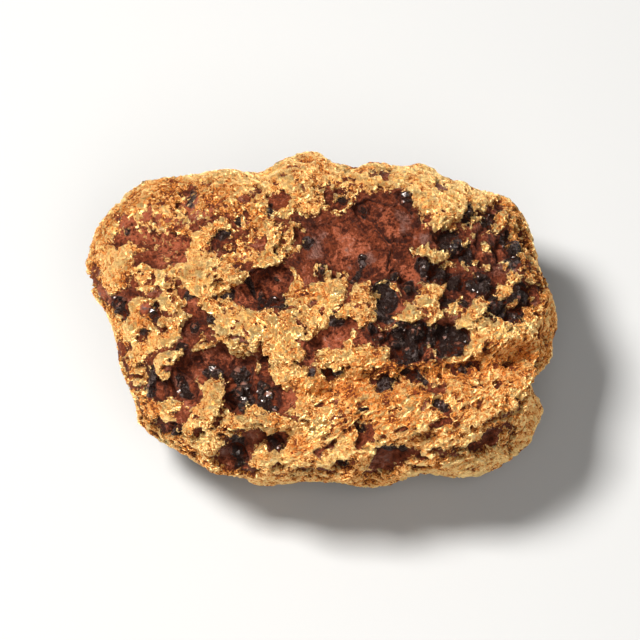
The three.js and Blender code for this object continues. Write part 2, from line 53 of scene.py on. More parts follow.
# Areas where the gold is missing and ironstone shows
BARE_AREAS = [
    # the stained valley along the upper left edge
    [(-17.4, 8.6), (-16.9, 9.2), (-16.3, 9.0), (-15.6, 8.1), (-14.6, 7.6), (-13.3, 7.3), (-12.2, 7.4),
     (-11.5, 7.1), (-11.1, 6.2), (-11.5, 5.2), (-12.1, 4.8), (-13.0, 4.5), (-13.8, 4.4), (-14.8, 4.9),
     (-15.8, 4.9), (-15.8, 5.9), (-14.7, 6.1), (-15.6, 6.6), (-17.4, 6.3), (-17.9, 6.6), (-17.2, 7.8)],
    [(-15.0, 9.0), (-14.2, 9.2), (-13.2, 8.7), (-13.9, 8.3), (-14.6, 8.3)],
    [(-11.5, 11.4), (-11.0, 11.5), (-10.6, 11.2), (-10.6, 10.6), (-10.3, 10.0), (-10.8, 9.6), (-11.2, 9.3),
     (-11.8, 9.8), (-11.7, 10.6)],
    # bays and holes in the upper left gold
    [(-5.1, 11.6), (-5.5, 11.5), (-6.0, 11.0), (-7.0, 10.6), (-7.0, 10.4), (-6.5, 10.1), (-6.1, 10.1),
     (-5.6, 10.6), (-5.1, 11.1)],
    [(-9.6, 9.6), (-9.1, 9.5), (-9.0, 9.2), (-9.4, 9.2)],
    [(-7.3, 8.9), (-6.8, 9.0), (-6.7, 8.5), (-7.2, 8.4)],
    [(-7.4, 8.1), (-6.7, 8.1), (-6.6, 7.2), (-7.3, 7.0)],
    [(-9.3, 6.6), (-9.2, 7.0), (-9.0, 7.3), (-8.4, 7.5), (-7.5, 7.4), (-7.3, 7.1), (-7.3, 4.5), (-7.1, 4.4),
     (-6.9, 4.6), (-6.5, 4.2), (-5.9, 4.4), (-5.7, 5.0), (-7.0, 5.2), (-7.2, 6.2), (-7.6, 6.6), (-8.0, 6.5),
     (-7.8, 6.1), (-8.0, 5.7), (-8.5, 5.5), (-8.6, 6.0), (-9.2, 6.3)],
    [(-5.7, 7.9), (-5.5, 7.9), (-5.5, 7.1), (-4.7, 7.1), (-4.7, 6.5), (-5.1, 5.7), (-5.4, 6.1), (-6.0, 6.2),
     (-6.0, 6.8), (-5.7, 7.1)],
    [(-4.4, 10.7), (-4.0, 10.8), (-3.5, 11.0), (-2.7, 10.7), (-2.5, 10.3), (-2.8, 10.1), (-2.9, 9.6),
     (-3.7, 9.8), (-3.9, 9.2), (-4.1, 8.8), (-4.5, 9.6), (-4.4, 10.2)],
    [(0.3, 10.8), (0.7, 11.0), (1.3, 11.2), (2.0, 11.3), (2.4, 11.0), (2.3, 10.5), (2.4, 10.2), (2.1, 9.6),
     (1.1, 9.5), (0.6, 9.9)],
    [(5.1, 12.9), (6.1, 12.9), (5.9, 12.2), (5.4, 12.0), (5.0, 12.5)],
    [(10.0, 11.9), (10.6, 11.9), (11.1, 11.7), (10.8, 11.3), (10.4, 11.0), (10.1, 11.3)],
    # the great hollow and the broken dark ground to the right of it
    [(-2.2, 9.3), (-1.6, 9.3), (-1.1, 9.1), (-0.1, 9.2), (0.1, 9.5), (0.9, 9.3), (1.7, 9.1), (2.3, 9.3),
     (2.6, 9.9), (3.3, 11.0), (3.8, 11.5), (4.0, 11.1), (4.8, 11.0), (5.2, 11.6), (5.5, 11.1), (6.2, 11.3),
     (7.0, 11.4), (7.9, 10.9), (7.7, 10.0), (8.3, 9.8), (8.5, 9.0), (9.3, 9.1), (9.5, 8.6), (9.3, 8.3),
     (10.0, 7.7), (10.9, 7.8), (12.0, 7.6), (11.7, 8.2), (12.5, 8.9), (12.8, 10.1), (13.2, 10.0),
     (13.1, 9.5), (13.5, 9.4), (13.8, 9.1), (14.4, 9.2), (14.2, 10.1), (15.3, 10.3), (15.6, 9.8),
     (15.6, 9.4), (15.0, 9.1), (14.8, 7.7), (15.5, 7.6), (16.1, 7.9), (17.0, 7.3), (17.3, 6.4), (17.0, 5.3),
     (17.3, 4.9), (17.7, 3.7), (17.9, 2.6), (18.1, 1.5), (17.9, 1.3), (17.1, 1.1), (17.4, 0.0),
     (16.6, -0.2), (16.1, -0.1), (15.7, 0.4), (15.2, 0.4), (14.1, 0.2), (13.5, 0.0), (13.4, -0.6),
     (13.0, -1.3), (12.4, -2.3), (12.0, -3.0), (11.0, -3.1), (10.1, -3.6), (9.5, -3.3), (8.3, -3.8),
     (6.6, -3.8), (6.1, -3.2), (6.0, -2.2), (5.5, -2.4), (4.9, -1.9), (4.4, -1.9), (3.6, -2.1), (3.1, -2.3),
     (2.7, -2.0), (2.7, -1.5), (3.5, -0.8), (4.2, -0.3), (4.9, -0.1), (5.0, 0.6), (4.6, 1.0), (5.1, 1.4),
     (5.2, 2.1), (4.5, 2.3), (4.3, 2.8), (4.4, 3.3), (3.8, 3.3), (3.3, 3.1), (2.5, 2.6), (2.3, 2.1),
     (2.3, 3.4), (2.0, 3.7), (0.4, 3.5), (0.0, 3.5), (-0.8, 3.2), (-1.7, 3.4), (-2.0, 4.4), (-2.6, 4.4),
     (-2.9, 4.7), (-2.9, 5.3), (-2.1, 5.9), (-1.9, 6.4), (-2.5, 6.5), (-3.3, 7.0), (-2.6, 8.2)],
    [(18.0, 3.0), (18.6, 3.2), (19.0, 2.8), (18.9, 1.7), (18.3, 1.0), (18.1, 1.4), (18.3, 2.0),
     (17.9, 2.6)],
    # the second hollow, in the middle of the left half
    [(-5.9, 4.3), (-5.6, 4.5), (-4.8, 4.3), (-3.5, 4.5), (-3.0, 4.8), (-2.5, 4.3), (-2.3, 3.6), (-2.8, 2.7),
     (-3.0, 2.3), (-3.0, 1.5), (-2.0, 1.2), (-1.5, 1.1), (-1.6, 0.7), (-2.0, 1.0), (-3.5, 1.0), (-4.9, 1.0),
     (-5.4, 0.8), (-6.0, 1.1), (-6.9, 1.3), (-7.5, 1.7), (-9.0, 1.9), (-8.0, 2.3), (-6.5, 3.0),
     (-6.0, 3.5)],
    [(-9.1, 4.4), (-8.8, 4.5), (-8.7, 3.8), (-9.0, 3.6)],
    [(-9.8, 3.6), (-9.7, 3.9), (-9.3, 3.9), (-9.4, 3.7)],
    # the hollow in the middle with its red channel
    [(0.8, 0.4), (1.1, 0.7), (1.2, 0.2), (2.0, 0.0), (2.9, -0.1), (3.4, -0.6), (2.9, -0.9), (2.5, -1.6),
     (2.0, -1.6), (1.9, -2.2), (1.6, -2.3), (0.4, -2.3), (-0.2, -2.5), (-0.2, -3.0), (-0.7, -4.0),
     (-0.3, -4.4), (-0.5, -4.8), (-0.9, -4.6), (-1.0, -4.1), (-1.9, -4.0), (-2.2, -3.8), (-1.6, -3.7),
     (-1.2, -3.2), (-1.1, -2.6), (-1.5, -2.2), (-2.0, -1.8), (-2.4, -1.3), (-1.4, -1.7), (-0.6, -1.8),
     (0.1, -1.2), (0.3, -0.9), (0.8, -0.7), (0.9, -0.1)],
    [(-2.1, 0.5), (-1.9, 0.3), (-1.5, -0.1), (-1.4, -0.4), (-1.9, -0.4), (-2.0, 0.1)],
    [(-5.2, 0.5), (-5.1, 0.2), (-4.7, -0.4), (-4.7, -0.8), (-5.0, -0.6), (-5.4, -0.4), (-5.1, 0.1)],
    # left edge
    [(-19.3, 3.2), (-18.6, 3.0), (-18.1, 2.0), (-17.5, 2.2), (-16.5, 2.9), (-15.9, 2.8), (-15.4, 2.5),
     (-14.2, 2.4), (-13.8, 2.9), (-13.7, 2.4), (-14.3, 1.8), (-15.3, 2.0), (-16.3, 2.0), (-16.3, 1.2),
     (-16.4, 0.4), (-17.0, -0.1), (-17.3, 0.4), (-18.0, 0.8), (-18.8, 1.3), (-19.1, 1.9)],
    [(-15.3, 1.5), (-14.9, 1.6), (-14.4, 1.3), (-14.0, 1.6), (-13.6, 1.0), (-13.6, 0.5), (-13.9, -0.1),
     (-14.2, -0.3), (-14.6, 0.3), (-15.1, 0.5), (-15.4, 1.1)],
    [(-13.4, 0.8), (-12.9, 0.8), (-12.5, 0.5), (-11.9, 0.5), (-12.6, 0.3), (-13.4, 0.4)],
    [(-15.4, -0.9), (-14.9, -0.8), (-14.6, -0.9), (-15.0, -1.7), (-15.3, -2.0), (-15.6, -1.9),
     (-15.5, -1.3)],
    [(-16.8, -2.0), (-16.4, -2.0), (-16.3, -2.4), (-16.9, -2.5)],
    # the broken ground in the left half, and the upright hollow at its right end
    [(-12.0, 2.7), (-11.0, 2.2), (-10.5, 2.0), (-10.5, 1.2), (-10.1, 0.8), (-9.1, 0.6), (-9.0, -1.2),
     (-8.9, -1.9), (-8.0, -2.0), (-7.9, -2.8), (-7.0, -3.3), (-6.0, -3.0), (-5.4, -2.9), (-4.6, -3.2),
     (-4.3, -3.9), (-4.4, -4.4), (-4.1, -4.6), (-4.2, -5.3), (-3.9, -5.6), (-3.3, -5.7), (-3.2, -6.0),
     (-2.1, -6.1), (-2.1, -6.7), (-2.4, -7.6), (-3.2, -7.9), (-4.1, -7.7), (-5.1, -7.4), (-5.8, -7.0),
     (-6.3, -7.4), (-6.9, -8.1), (-7.8, -7.5), (-8.2, -7.3), (-8.1, -6.8), (-7.8, -5.2), (-8.5, -4.8),
     (-9.6, -5.1), (-9.9, -5.4), (-10.7, -5.0), (-10.1, -5.9), (-10.3, -6.5), (-10.6, -7.1), (-11.2, -7.7),
     (-11.9, -7.0), (-12.4, -6.5), (-13.8, -7.0), (-14.5, -6.9), (-14.9, -6.3), (-14.9, -5.6),
     (-15.0, -4.9), (-15.0, -3.8), (-15.8, -4.2), (-15.2, -3.4), (-14.2, -2.7), (-13.0, -2.3),
     (-12.2, -2.1), (-11.7, -0.9), (-11.4, 0.0), (-11.2, 0.4), (-11.9, 0.9), (-11.4, 1.4), (-11.7, 1.8)],
    # lower left
    [(-14.3, -9.0), (-13.9, -8.3), (-13.1, -8.7), (-12.4, -8.6), (-12.8, -8.0), (-12.0, -7.5),
     (-11.9, -7.1), (-11.0, -7.8), (-11.4, -8.2), (-11.9, -8.9), (-11.8, -9.7), (-12.6, -9.9),
     (-13.8, -9.9)],
    [(-10.7, -9.6), (-10.1, -9.4), (-9.8, -9.7), (-10.3, -9.8), (-10.8, -10.0)],
    [(-8.8, -9.5), (-8.2, -9.9), (-6.9, -9.9), (-6.4, -9.5), (-5.3, -9.2), (-4.9, -9.7), (-4.2, -9.9),
     (-3.6, -9.6), (-2.8, -9.9), (-3.1, -10.8), (-3.6, -11.0), (-4.3, -10.9), (-4.8, -10.5), (-5.7, -10.7),
     (-5.9, -11.8), (-6.5, -12.4), (-5.1, -12.8), (-6.0, -13.2), (-7.3, -13.0), (-8.4, -12.5),
     (-9.3, -11.8), (-8.6, -11.2), (-7.9, -10.7), (-7.8, -10.3), (-8.6, -9.9)],
    # lower middle
    [(0.3, -4.3), (1.5, -4.4), (2.0, -4.2), (2.3, -4.5), (1.4, -5.3), (1.0, -5.4), (0.6, -5.0)],
    [(4.5, -5.2), (5.2, -5.0), (5.6, -4.8), (6.2, -5.0), (6.1, -5.7), (5.3, -6.2), (4.8, -6.0),
     (4.7, -5.4)],
    [(6.4, -5.0), (6.9, -4.6), (7.2, -4.1), (7.9, -4.0), (8.6, -4.4), (9.3, -5.1), (10.8, -5.3),
     (10.6, -6.0), (10.0, -6.2), (8.7, -5.8), (9.8, -5.5), (8.6, -5.4), (7.4, -5.0)],
    [(9.8, -6.8), (10.3, -6.8), (11.0, -7.1), (11.0, -7.8), (11.2, -8.5), (10.3, -8.8), (9.7, -9.4),
     (9.3, -9.6), (9.5, -8.9), (10.4, -8.4), (10.7, -8.1), (10.3, -7.7)],
    [(8.5, -7.4), (9.0, -7.3), (9.0, -7.6), (8.6, -7.7)],
    [(12.5, -10.9), (12.7, -10.6), (13.3, -10.4), (13.9, -10.4), (14.0, -9.8), (14.6, -9.2), (15.4, -9.4),
     (15.4, -10.6), (14.6, -11.0), (13.7, -11.0), (13.3, -11.4), (12.6, -11.1)],
    [(15.5, -9.0), (16.0, -8.8), (16.6, -9.0), (16.2, -9.4), (15.6, -9.4)],
    [(3.3, -9.0), (3.7, -8.8), (4.3, -8.9), (4.4, -9.6), (4.4, -9.9), (5.0, -10.2), (5.1, -10.5),
     (4.0, -10.6), (3.6, -11.0), (3.1, -10.7), (3.3, -9.8)],
    [(4.9, -10.8), (6.0, -10.8), (7.4, -10.9), (8.1, -11.2), (8.5, -11.5), (9.3, -12.0), (8.0, -11.8),
     (7.0, -12.2), (5.8, -12.9), (4.8, -13.2), (3.6, -13.3), (4.0, -12.6), (4.6, -11.8)],
    [(3.1, -7.4), (3.5, -7.2), (4.1, -7.4), (4.0, -7.8), (3.2, -7.9)],
    [(1.8, -9.3), (2.2, -9.2), (2.3, -9.8), (2.0, -9.7)],
    [(1.4, -10.3), (0.6, -10.7), (-0.6, -11.3), (-0.3, -11.7), (0.2, -12.1), (0.3, -11.5), (1.0, -10.9)],
    [(1.2, -12.4), (1.6, -12.0), (2.4, -12.3), (2.6, -12.6), (1.8, -12.8)],
    [(-2.9, -8.0), (-2.5, -7.9), (-1.9, -8.5), (-1.9, -8.8), (-2.6, -8.5)],
    [(-4.1, -12.5), (-3.1, -12.1), (-3.3, -12.4), (-4.0, -12.8)],
    [(-3.0, -11.4), (-2.6, -11.1), (-2.5, -11.3), (-2.8, -11.5)],
    [(13.9, -3.0), (14.3, -2.2), (14.3, -1.8), (14.6, -2.1), (14.1, -2.8)],
    [(12.9, -3.4), (13.2, -3.7), (12.6, -4.1), (11.5, -4.5), (11.2, -4.2), (12.4, -4.0), (12.6, -3.6)],
    [(16.2, -0.4), (16.6, -0.5), (16.7, -0.8), (16.4, -1.0)],
]

# Gold that stands in the bare areas
GOLD_AREAS = [
    [(2.5, 11.2), (3.1, 11.2), (3.3, 11.0), (3.0, 10.4), (2.6, 9.9), (2.3, 9.9), (2.5, 10.5)],
    [(-3.2, 7.2), (-2.9, 7.8), (-2.3, 7.9), (-1.9, 7.3), (-2.1, 6.7), (-2.8, 6.6)],
    [(7.6, 6.1), (8.2, 6.4), (9.3, 6.1), (10.3, 6.1), (10.9, 5.8), (11.1, 5.3), (10.8, 5.1), (10.4, 4.6),
     (9.8, 4.7), (9.3, 5.1), (8.6, 5.4), (7.7, 5.4)],
    [(10.4, 4.3), (10.7, 4.7), (11.4, 5.0), (11.6, 4.7), (10.9, 4.4), (10.5, 4.2)],
    [(12.0, 4.9), (12.4, 5.0), (12.8, 4.6), (12.8, 4.2), (12.5, 4.3), (12.2, 4.7)],
    [(11.9, 6.5), (12.1, 6.9), (12.6, 7.3), (12.9, 7.3), (12.9, 6.7), (12.6, 6.3), (12.1, 6.3)],
    [(13.7, 6.1), (13.8, 6.5), (14.2, 6.6), (14.5, 6.1), (14.3, 5.7), (13.8, 5.7)],
    [(13.8, 7.2), (14.2, 7.7), (14.7, 8.0), (14.5, 7.6), (14.4, 7.4)],
    [(12.8, 8.9), (13.4, 9.0), (13.6, 9.3), (13.9, 8.9), (13.8, 8.5), (13.2, 8.4), (13.0, 8.6)],
    [(12.1, 8.1), (12.5, 8.4), (12.8, 8.3), (12.5, 7.9)],
    [(16.3, 7.0), (16.5, 7.4), (17.0, 7.5), (17.2, 7.2), (17.0, 6.7), (16.7, 6.7)],
    [(17.0, 5.2), (17.3, 4.9), (17.6, 4.0), (17.9, 3.0), (17.6, 2.9), (17.4, 4.1), (17.1, 4.7)],
    [(15.9, 3.9), (16.1, 4.3), (16.4, 4.4), (16.6, 3.9), (16.8, 4.5), (17.0, 4.0), (17.4, 3.9), (17.4, 3.3),
     (16.9, 3.2), (16.5, 3.0), (16.4, 2.4), (15.8, 1.9), (15.4, 1.8), (15.2, 2.5), (15.3, 3.1),
     (15.8, 2.9)],
    [(16.0, 0.8), (16.2, 1.1), (16.2, 1.5), (16.6, 1.6), (16.9, 1.2), (16.5, 0.9)],
    [(14.7, 0.4), (14.9, 0.5), (15.1, 0.5), (15.1, 0.1), (14.8, 0.0)],
    [(12.9, 1.4), (13.0, 1.8), (13.6, 2.1), (14.1, 2.0), (14.4, 1.6), (14.4, 1.1), (14.1, 0.3), (13.7, 0.1),
     (13.4, -0.2), (13.5, -0.8), (13.0, -1.3), (12.4, -1.0), (11.7, -0.6), (11.5, -0.3), (11.8, 0.4),
     (12.2, 0.9), (12.5, 1.2)],
    [(10.5, 1.1), (11.0, 1.2), (11.2, 1.6), (11.7, 1.7), (12.0, 0.9), (11.6, 0.5), (11.1, 0.3),
     (10.9, 0.8)],
    [(8.1, 2.7), (8.6, 3.2), (9.2, 3.3), (9.5, 3.1), (9.9, 3.3), (10.2, 3.0), (10.8, 3.2), (10.8, 2.6),
     (10.3, 2.0), (10.3, 1.5), (10.7, 0.2), (10.3, -0.1), (10.1, -0.6), (9.3, -0.6), (9.0, -0.3),
     (9.4, 0.0), (9.3, 0.9), (9.0, 0.8), (8.9, 0.3), (8.4, -0.3), (8.0, -0.5), (7.0, -0.4), (6.5, -0.1),
     (6.2, 0.4), (6.7, 0.9), (7.4, 1.3), (7.2, 1.6), (8.1, 2.1)],
    [(6.0, 3.1), (6.6, 3.3), (6.9, 2.4), (6.4, 2.8)],
    [(4.7, -0.3), (4.9, -0.1), (5.1, -0.4), (5.3, -0.8), (5.0, -0.8)],
    [(5.4, -0.8), (5.7, -0.3), (5.9, -0.4), (5.9, -0.7), (5.6, -0.8)],
    [(0.5, 3.4), (0.5, 4.1), (0.9, 4.2), (1.0, 3.5)],
    [(-11.2, -2.8), (-10.7, -2.3), (-10.5, -1.7), (-10.0, -2.1), (-8.9, -2.1), (-9.0, -2.4), (-10.0, -2.7)],
    [(-14.4, -3.6), (-13.9, -2.9), (-13.0, -2.6), (-12.2, -2.4), (-11.7, -2.5), (-11.5, -3.0),
     (-12.1, -3.9), (-12.7, -4.1), (-12.8, -5.0), (-13.1, -5.5), (-13.6, -5.3), (-14.1, -4.4)],
    [(-9.7, -0.3), (-9.1, -0.3), (-9.1, -0.8), (-9.5, -0.5)],
    [(-5.4, -3.8), (-5.2, -3.8), (-5.1, -4.4), (-5.3, -4.7), (-5.5, -4.4)],
    [(-15.9, 8.5), (-15.0, 8.2), (-13.4, 8.4), (-14.4, 7.9)],
]

# Cracks and small pits in the gold: half width, then the path
BARE_STREAKS = [
    (0.25, [(-16.9, -2.4), (-16.6, -4.4), (-15.9, -6.6), (-15.3, -8.5)]),
    (0.22, [(-14.6, -9.6), (-12.4, -11.0), (-10.4, -12.1)]),
    (0.08, [(16.2, -11.4), (16.1, -10.4), (16.6, -9.2)]),
    (0.07, [(14.4, -8.7), (15.6, -8.2), (17.0, -7.7), (17.2, -6.9)]),
    (0.07, [(9.6, -11.0), (10.6, -11.7), (12.2, -11.6)]),
    (0.06, [(6.9, -12.2), (8.2, -12.6), (9.4, -12.5)]),
    (0.42, [(-11.2, 11.2), (-11.3, 10.2), (-10.8, 9.0), (-10.6, 8.0)]),
    (0.45, [(-15.0, 9.0), (-13.8, 8.7)]), (0.45, [(-17.3, 8.7), (-16.4, 8.0), (-14.6, 7.4)]),
    (0.4, [(-12.2, 8.1), (-10.6, 8.2), (-9.4, 8.8)]), (0.3, [(-19.3, 4.4), (-19.2, 3.4), (-18.6, 2.4)]),
    (0.28, [(-7.4, 8.4), (-6.6, 7.6), (-6.2, 6.8)]), (0.25, [(-9.4, 9.8), (-8.9, 9.6)]),
    (0.12, [(-13.6, 10.4), (-14.9, 9.3)]), (0.3, [(-16.2, 3.6), (-15.8, 3.0), (-15.9, 2.5)]),
    (0.25, [(-14.5, 3.8), (-14.2, 3.1)]), (0.2, [(-13.2, 3.7), (-12.5, 3.4)]),
    (0.1, [(-12.9, 2.3), (-12.2, 2.8), (-12.0, 3.1)]), (0.08, [(-10.3, 6.1), (-9.9, 5.9)]),
    (0.1, [(-9.9, 11.8), (-9.5, 11.8)]), (0.12, [(-7.8, 9.0)]),
    (0.1, [(-6.4, 10.0), (-6.4, 9.3), (-6.0, 8.2)]), (0.08, [(-3.4, 6.5), (-3.8, 5.9)]),
    (0.08, [(-3.6, 7.6), (-3.5, 7.2)]), (0.22, [(-3.2, 12.5)]), (0.12, [(-4.0, 11.7), (-3.6, 11.6)]),
    (0.12, [(-1.9, 12.1)]), (0.25, [(-1.3, 11.4)]), (0.22, [(-3.0, 5.8), (-2.8, 5.3)]),
    (0.25, [(-3.6, 8.8), (-3.1, 8.3)]),
    (0.12, [(-0.7, 11.4), (0.2, 11.3), (0.8, 11.5), (1.2, 11.8), (2.2, 12.0)]),
    (0.1, [(1.6, 13.1), (2.3, 12.8), (2.8, 11.9), (3.0, 11.5)]), (0.15, [(4.6, 12.6)]),
    (0.14, [(10.6, 8.6)]), (0.12, [(10.5, 9.4)]), (0.1, [(9.8, 9.3)]), (0.1, [(12.0, 9.7)]),
    (0.14, [(13.6, 9.8)]), (0.12, [(16.1, 9.2), (16.2, 8.6)]), (0.12, [(16.6, 9.4), (17.0, 9.6)]),
    (0.14, [(16.9, 7.8), (17.3, 7.5)]), (0.16, [(17.5, 5.9), (17.9, 5.4), (18.0, 4.5)]),
    (0.14, [(-9.7, 2.9)]), (0.07, [(-9.0, 3.0), (-8.2, 3.1)]), (0.08, [(-8.3, 1.3), (-7.6, 1.2)]),
    (0.1, [(-8.2, 0.8)]), (0.08, [(-7.3, 0.7), (-7.0, 0.7)]), (0.07, [(-4.6, 0.8), (-3.6, 0.7)]),
    (0.1, [(-7.5, -0.6), (-7.1, 0.0)]), (0.12, [(-6.6, -0.8), (-6.3, -1.2), (-6.2, -1.5)]),
    (0.15, [(-7.7, -1.7), (-6.9, -1.6), (-6.7, -1.9)]), (0.1, [(-6.4, -2.1), (-6.0, -2.7), (-5.8, -3.0)]),
    (0.15, [(-5.2, -2.2), (-5.2, -2.5)]), (0.1, [(-1.2, -0.6), (-1.2, -1.1)]),
    (0.16, [(-1.4, 2.9), (-1.0, 2.9)]), (0.14, [(-0.9, 1.4), (-0.5, 1.5)]),
    (0.08, [(-2.0, 2.4), (-1.1, 2.3), (-0.9, 1.8)]), (0.14, [(-1.9, 1.7), (-1.5, 1.4)]),
    (0.16, [(0.1, 0.9)]), (0.09, [(1.1, 0.8), (1.7, 1.2), (2.2, 1.5), (2.5, 1.9)]),
    (0.08, [(3.0, 1.2), (3.5, 1.6), (4.2, 1.3), (4.6, 1.0)]), (0.1, [(2.8, 0.9)]),
    (0.1, [(3.7, 0.3), (4.0, 0.3)]), (0.12, [(4.5, 0.4), (4.6, 0.3)]),
    (0.1, [(7.9, 1.6), (8.4, 1.1), (8.9, 0.8)]), (0.1, [(8.4, 3.0), (8.3, 2.2)]),
    (0.14, [(-13.8, -0.9), (-13.1, -1.0)]), (0.12, [(-13.2, -0.6)]), (0.16, [(-12.6, 1.8), (-12.4, 1.9)]),
    (0.12, [(-14.9, -3.3), (-13.8, -2.5), (-12.8, -2.3), (-12.0, -1.8)]), (0.12, [(-12.8, -3.4)]),
    (0.16, [(-13.3, -4.2), (-12.9, -4.4)]), (0.18, [(-16.7, -4.7), (-15.9, -4.9), (-15.2, -4.9)]),
    (0.2, [(-16.3, -5.6), (-15.4, -5.9)]),
    (0.25, [(-18.0, 0.2), (-17.5, -1.3), (-17.1, -2.7), (-16.8, -4.2), (-16.5, -5.2), (-16.3, -6.1),
           (-15.8, -7.0), (-15.4, -7.9), (-15.1, -8.9), (-14.2, -9.8), (-13.0, -10.6)]),
    (0.12, [(-10.8, -8.2), (-10.5, -8.4)]), (0.14, [(-8.3, -7.5), (-8.5, -8.6), (-8.8, -9.2)]),
    (0.12, [(-8.7, -9.5), (-8.2, -9.9)]), (0.1, [(-5.2, -7.9)]), (0.14, [(-4.8, -7.8)]),
    (0.12, [(-2.7, -9.3)]), (0.08, [(-1.4, -8.7), (-1.0, -8.7)]), (0.07, [(-0.5, -9.2), (-0.8, -9.4)]),
    (0.12, [(-2.0, -12.8), (-1.2, -12.9), (0.0, -12.9), (1.0, -13.0)]), (0.18, [(-2.3, -13.2)]),
    (0.14, [(-1.0, -13.2)]), (0.12, [(-0.3, -7.1), (0.2, -7.0)]), (0.14, [(1.2, -7.2), (1.5, -7.4)]),
    (0.08, [(1.5, -6.9), (2.1, -6.9)]), (0.12, [(1.2, -8.1), (1.0, -8.5), (1.1, -8.9)]),
    (0.07, [(1.4, -8.1), (2.1, -8.0)]), (0.07, [(2.2, -8.2), (2.2, -8.7)]),
    (0.06, [(0.2, -9.9), (0.8, -9.7)]), (0.1, [(3.8, -8.2)]), (0.14, [(4.4, -4.7)]),
    (0.07, [(5.4, -7.0), (5.9, -6.9)]), (0.08, [(6.6, -7.5), (6.8, -7.4)]), (0.1, [(6.0, -8.0)]),
    (0.09, [(6.4, -9.5), (7.0, -9.3), (8.0, -9.3)]), (0.1, [(5.2, -10.0), (5.8, -10.2)]),
    (0.07, [(8.0, -9.8), (8.9, -10.0), (9.5, -10.0)]), (0.06, [(8.5, -5.9), (7.5, -6.4)]),
    (0.08, [(8.9, -6.9), (9.3, -6.8)]), (0.08, [(11.4, -8.4), (11.7, -8.5)]),
    (0.08, [(11.6, -9.0), (12.0, -8.9)]), (0.06, [(9.8, -11.0), (10.5, -11.3), (10.9, -11.6)]),
    (0.08, [(11.1, -11.6), (11.9, -11.1)]), (0.1, [(11.3, -10.8)]), (0.12, [(10.0, -12.3)]),
    (0.1, [(13.2, -9.3)]), (0.14, [(14.8, -8.5)]), (0.08, [(13.0, -5.4), (13.7, -5.4), (13.9, -5.6)]),
    (0.14, [(15.1, -5.3), (15.1, -5.6)]), (0.1, [(16.5, -5.2)]), (0.08, [(17.7, -4.6)]),
    (0.09, [(12.3, -7.5), (12.9, -7.2)]), (0.08, [(13.7, -6.9), (13.6, -7.3)]),
    (0.14, [(13.4, -3.7), (13.8, -3.9)]), (0.14, [(15.7, -3.8), (16.1, -3.9)]),
    (0.12, [(18.6, -3.5), (18.4, -3.9)]), (0.1, [(16.8, -6.7)]), (0.12, [(18.4, 0.5)]),
]

# Small gold in the bare areas: half width, then the path
GOLD_FLECKS = [
    (0.14, [(-1.3, 6.8), (-1.8, 6.2), (-2.3, 6.1), (-3.2, 5.6)]),
    (0.22, [(-2.2, 8.2), (-1.5, 8.0), (-1.3, 7.8)]), (0.14, [(-2.4, 4.4), (-2.1, 3.8), (-2.0, 3.3)]),
    (0.2, [(1.4, 10.3), (1.5, 10.5)]), (0.1, [(0.2, 9.5), (1.2, 9.3), (2.2, 9.5)]),
    (0.12, [(-0.5, 4.1), (-0.2, 4.9), (0.3, 4.9), (0.7, 4.4)]), (0.22, [(-7.7, 6.9)]),
    (0.16, [(-3.2, 8.4)]), (0.1, [(9.2, 6.7), (9.2, 6.3)]), (0.1, [(12.9, 7.6), (13.1, 7.3)]),
    (0.14, [(13.2, 5.0)]), (0.2, [(14.3, 4.7), (14.4, 4.5)]), (0.1, [(13.3, 4.0)]), (0.12, [(15.6, 5.0)]),
    (0.1, [(16.0, 4.9), (15.8, 4.5)]), (0.09, [(16.2, 6.5)]), (0.12, [(12.0, 2.1)]),
    (0.1, [(4.8, 3.1), (5.3, 3.4), (6.0, 3.4), (6.2, 3.1)]), (0.14, [(1.7, 4.1)]),
    (0.16, [(1.5, 3.6), (1.9, 3.7)]), (0.2, [(2.2, 4.1)]), (0.08, [(9.1, -1.8), (9.3, -2.0)]),
    (0.1, [(9.9, -2.3), (9.7, -2.6)]), (0.12, [(6.4, -0.5)]), (0.08, [(-14.8, 0.3), (-14.2, 0.9)]),
    (0.12, [(-9.3, -1.3)]), (0.12, [(-10.4, -1.4), (-10.2, -1.7)]), (0.2, [(-14.4, -6.8)]),
    (0.14, [(-8.7, -11.5)]), (0.2, [(4.0, -9.3)]), (0.2, [(-10.9, 6.9), (-10.6, 6.6)]),
    (0.1, [(13.5, 10.2), (13.4, 9.6)]), (0.12, [(8.9, -4.6), (9.2, -4.5)]),
]

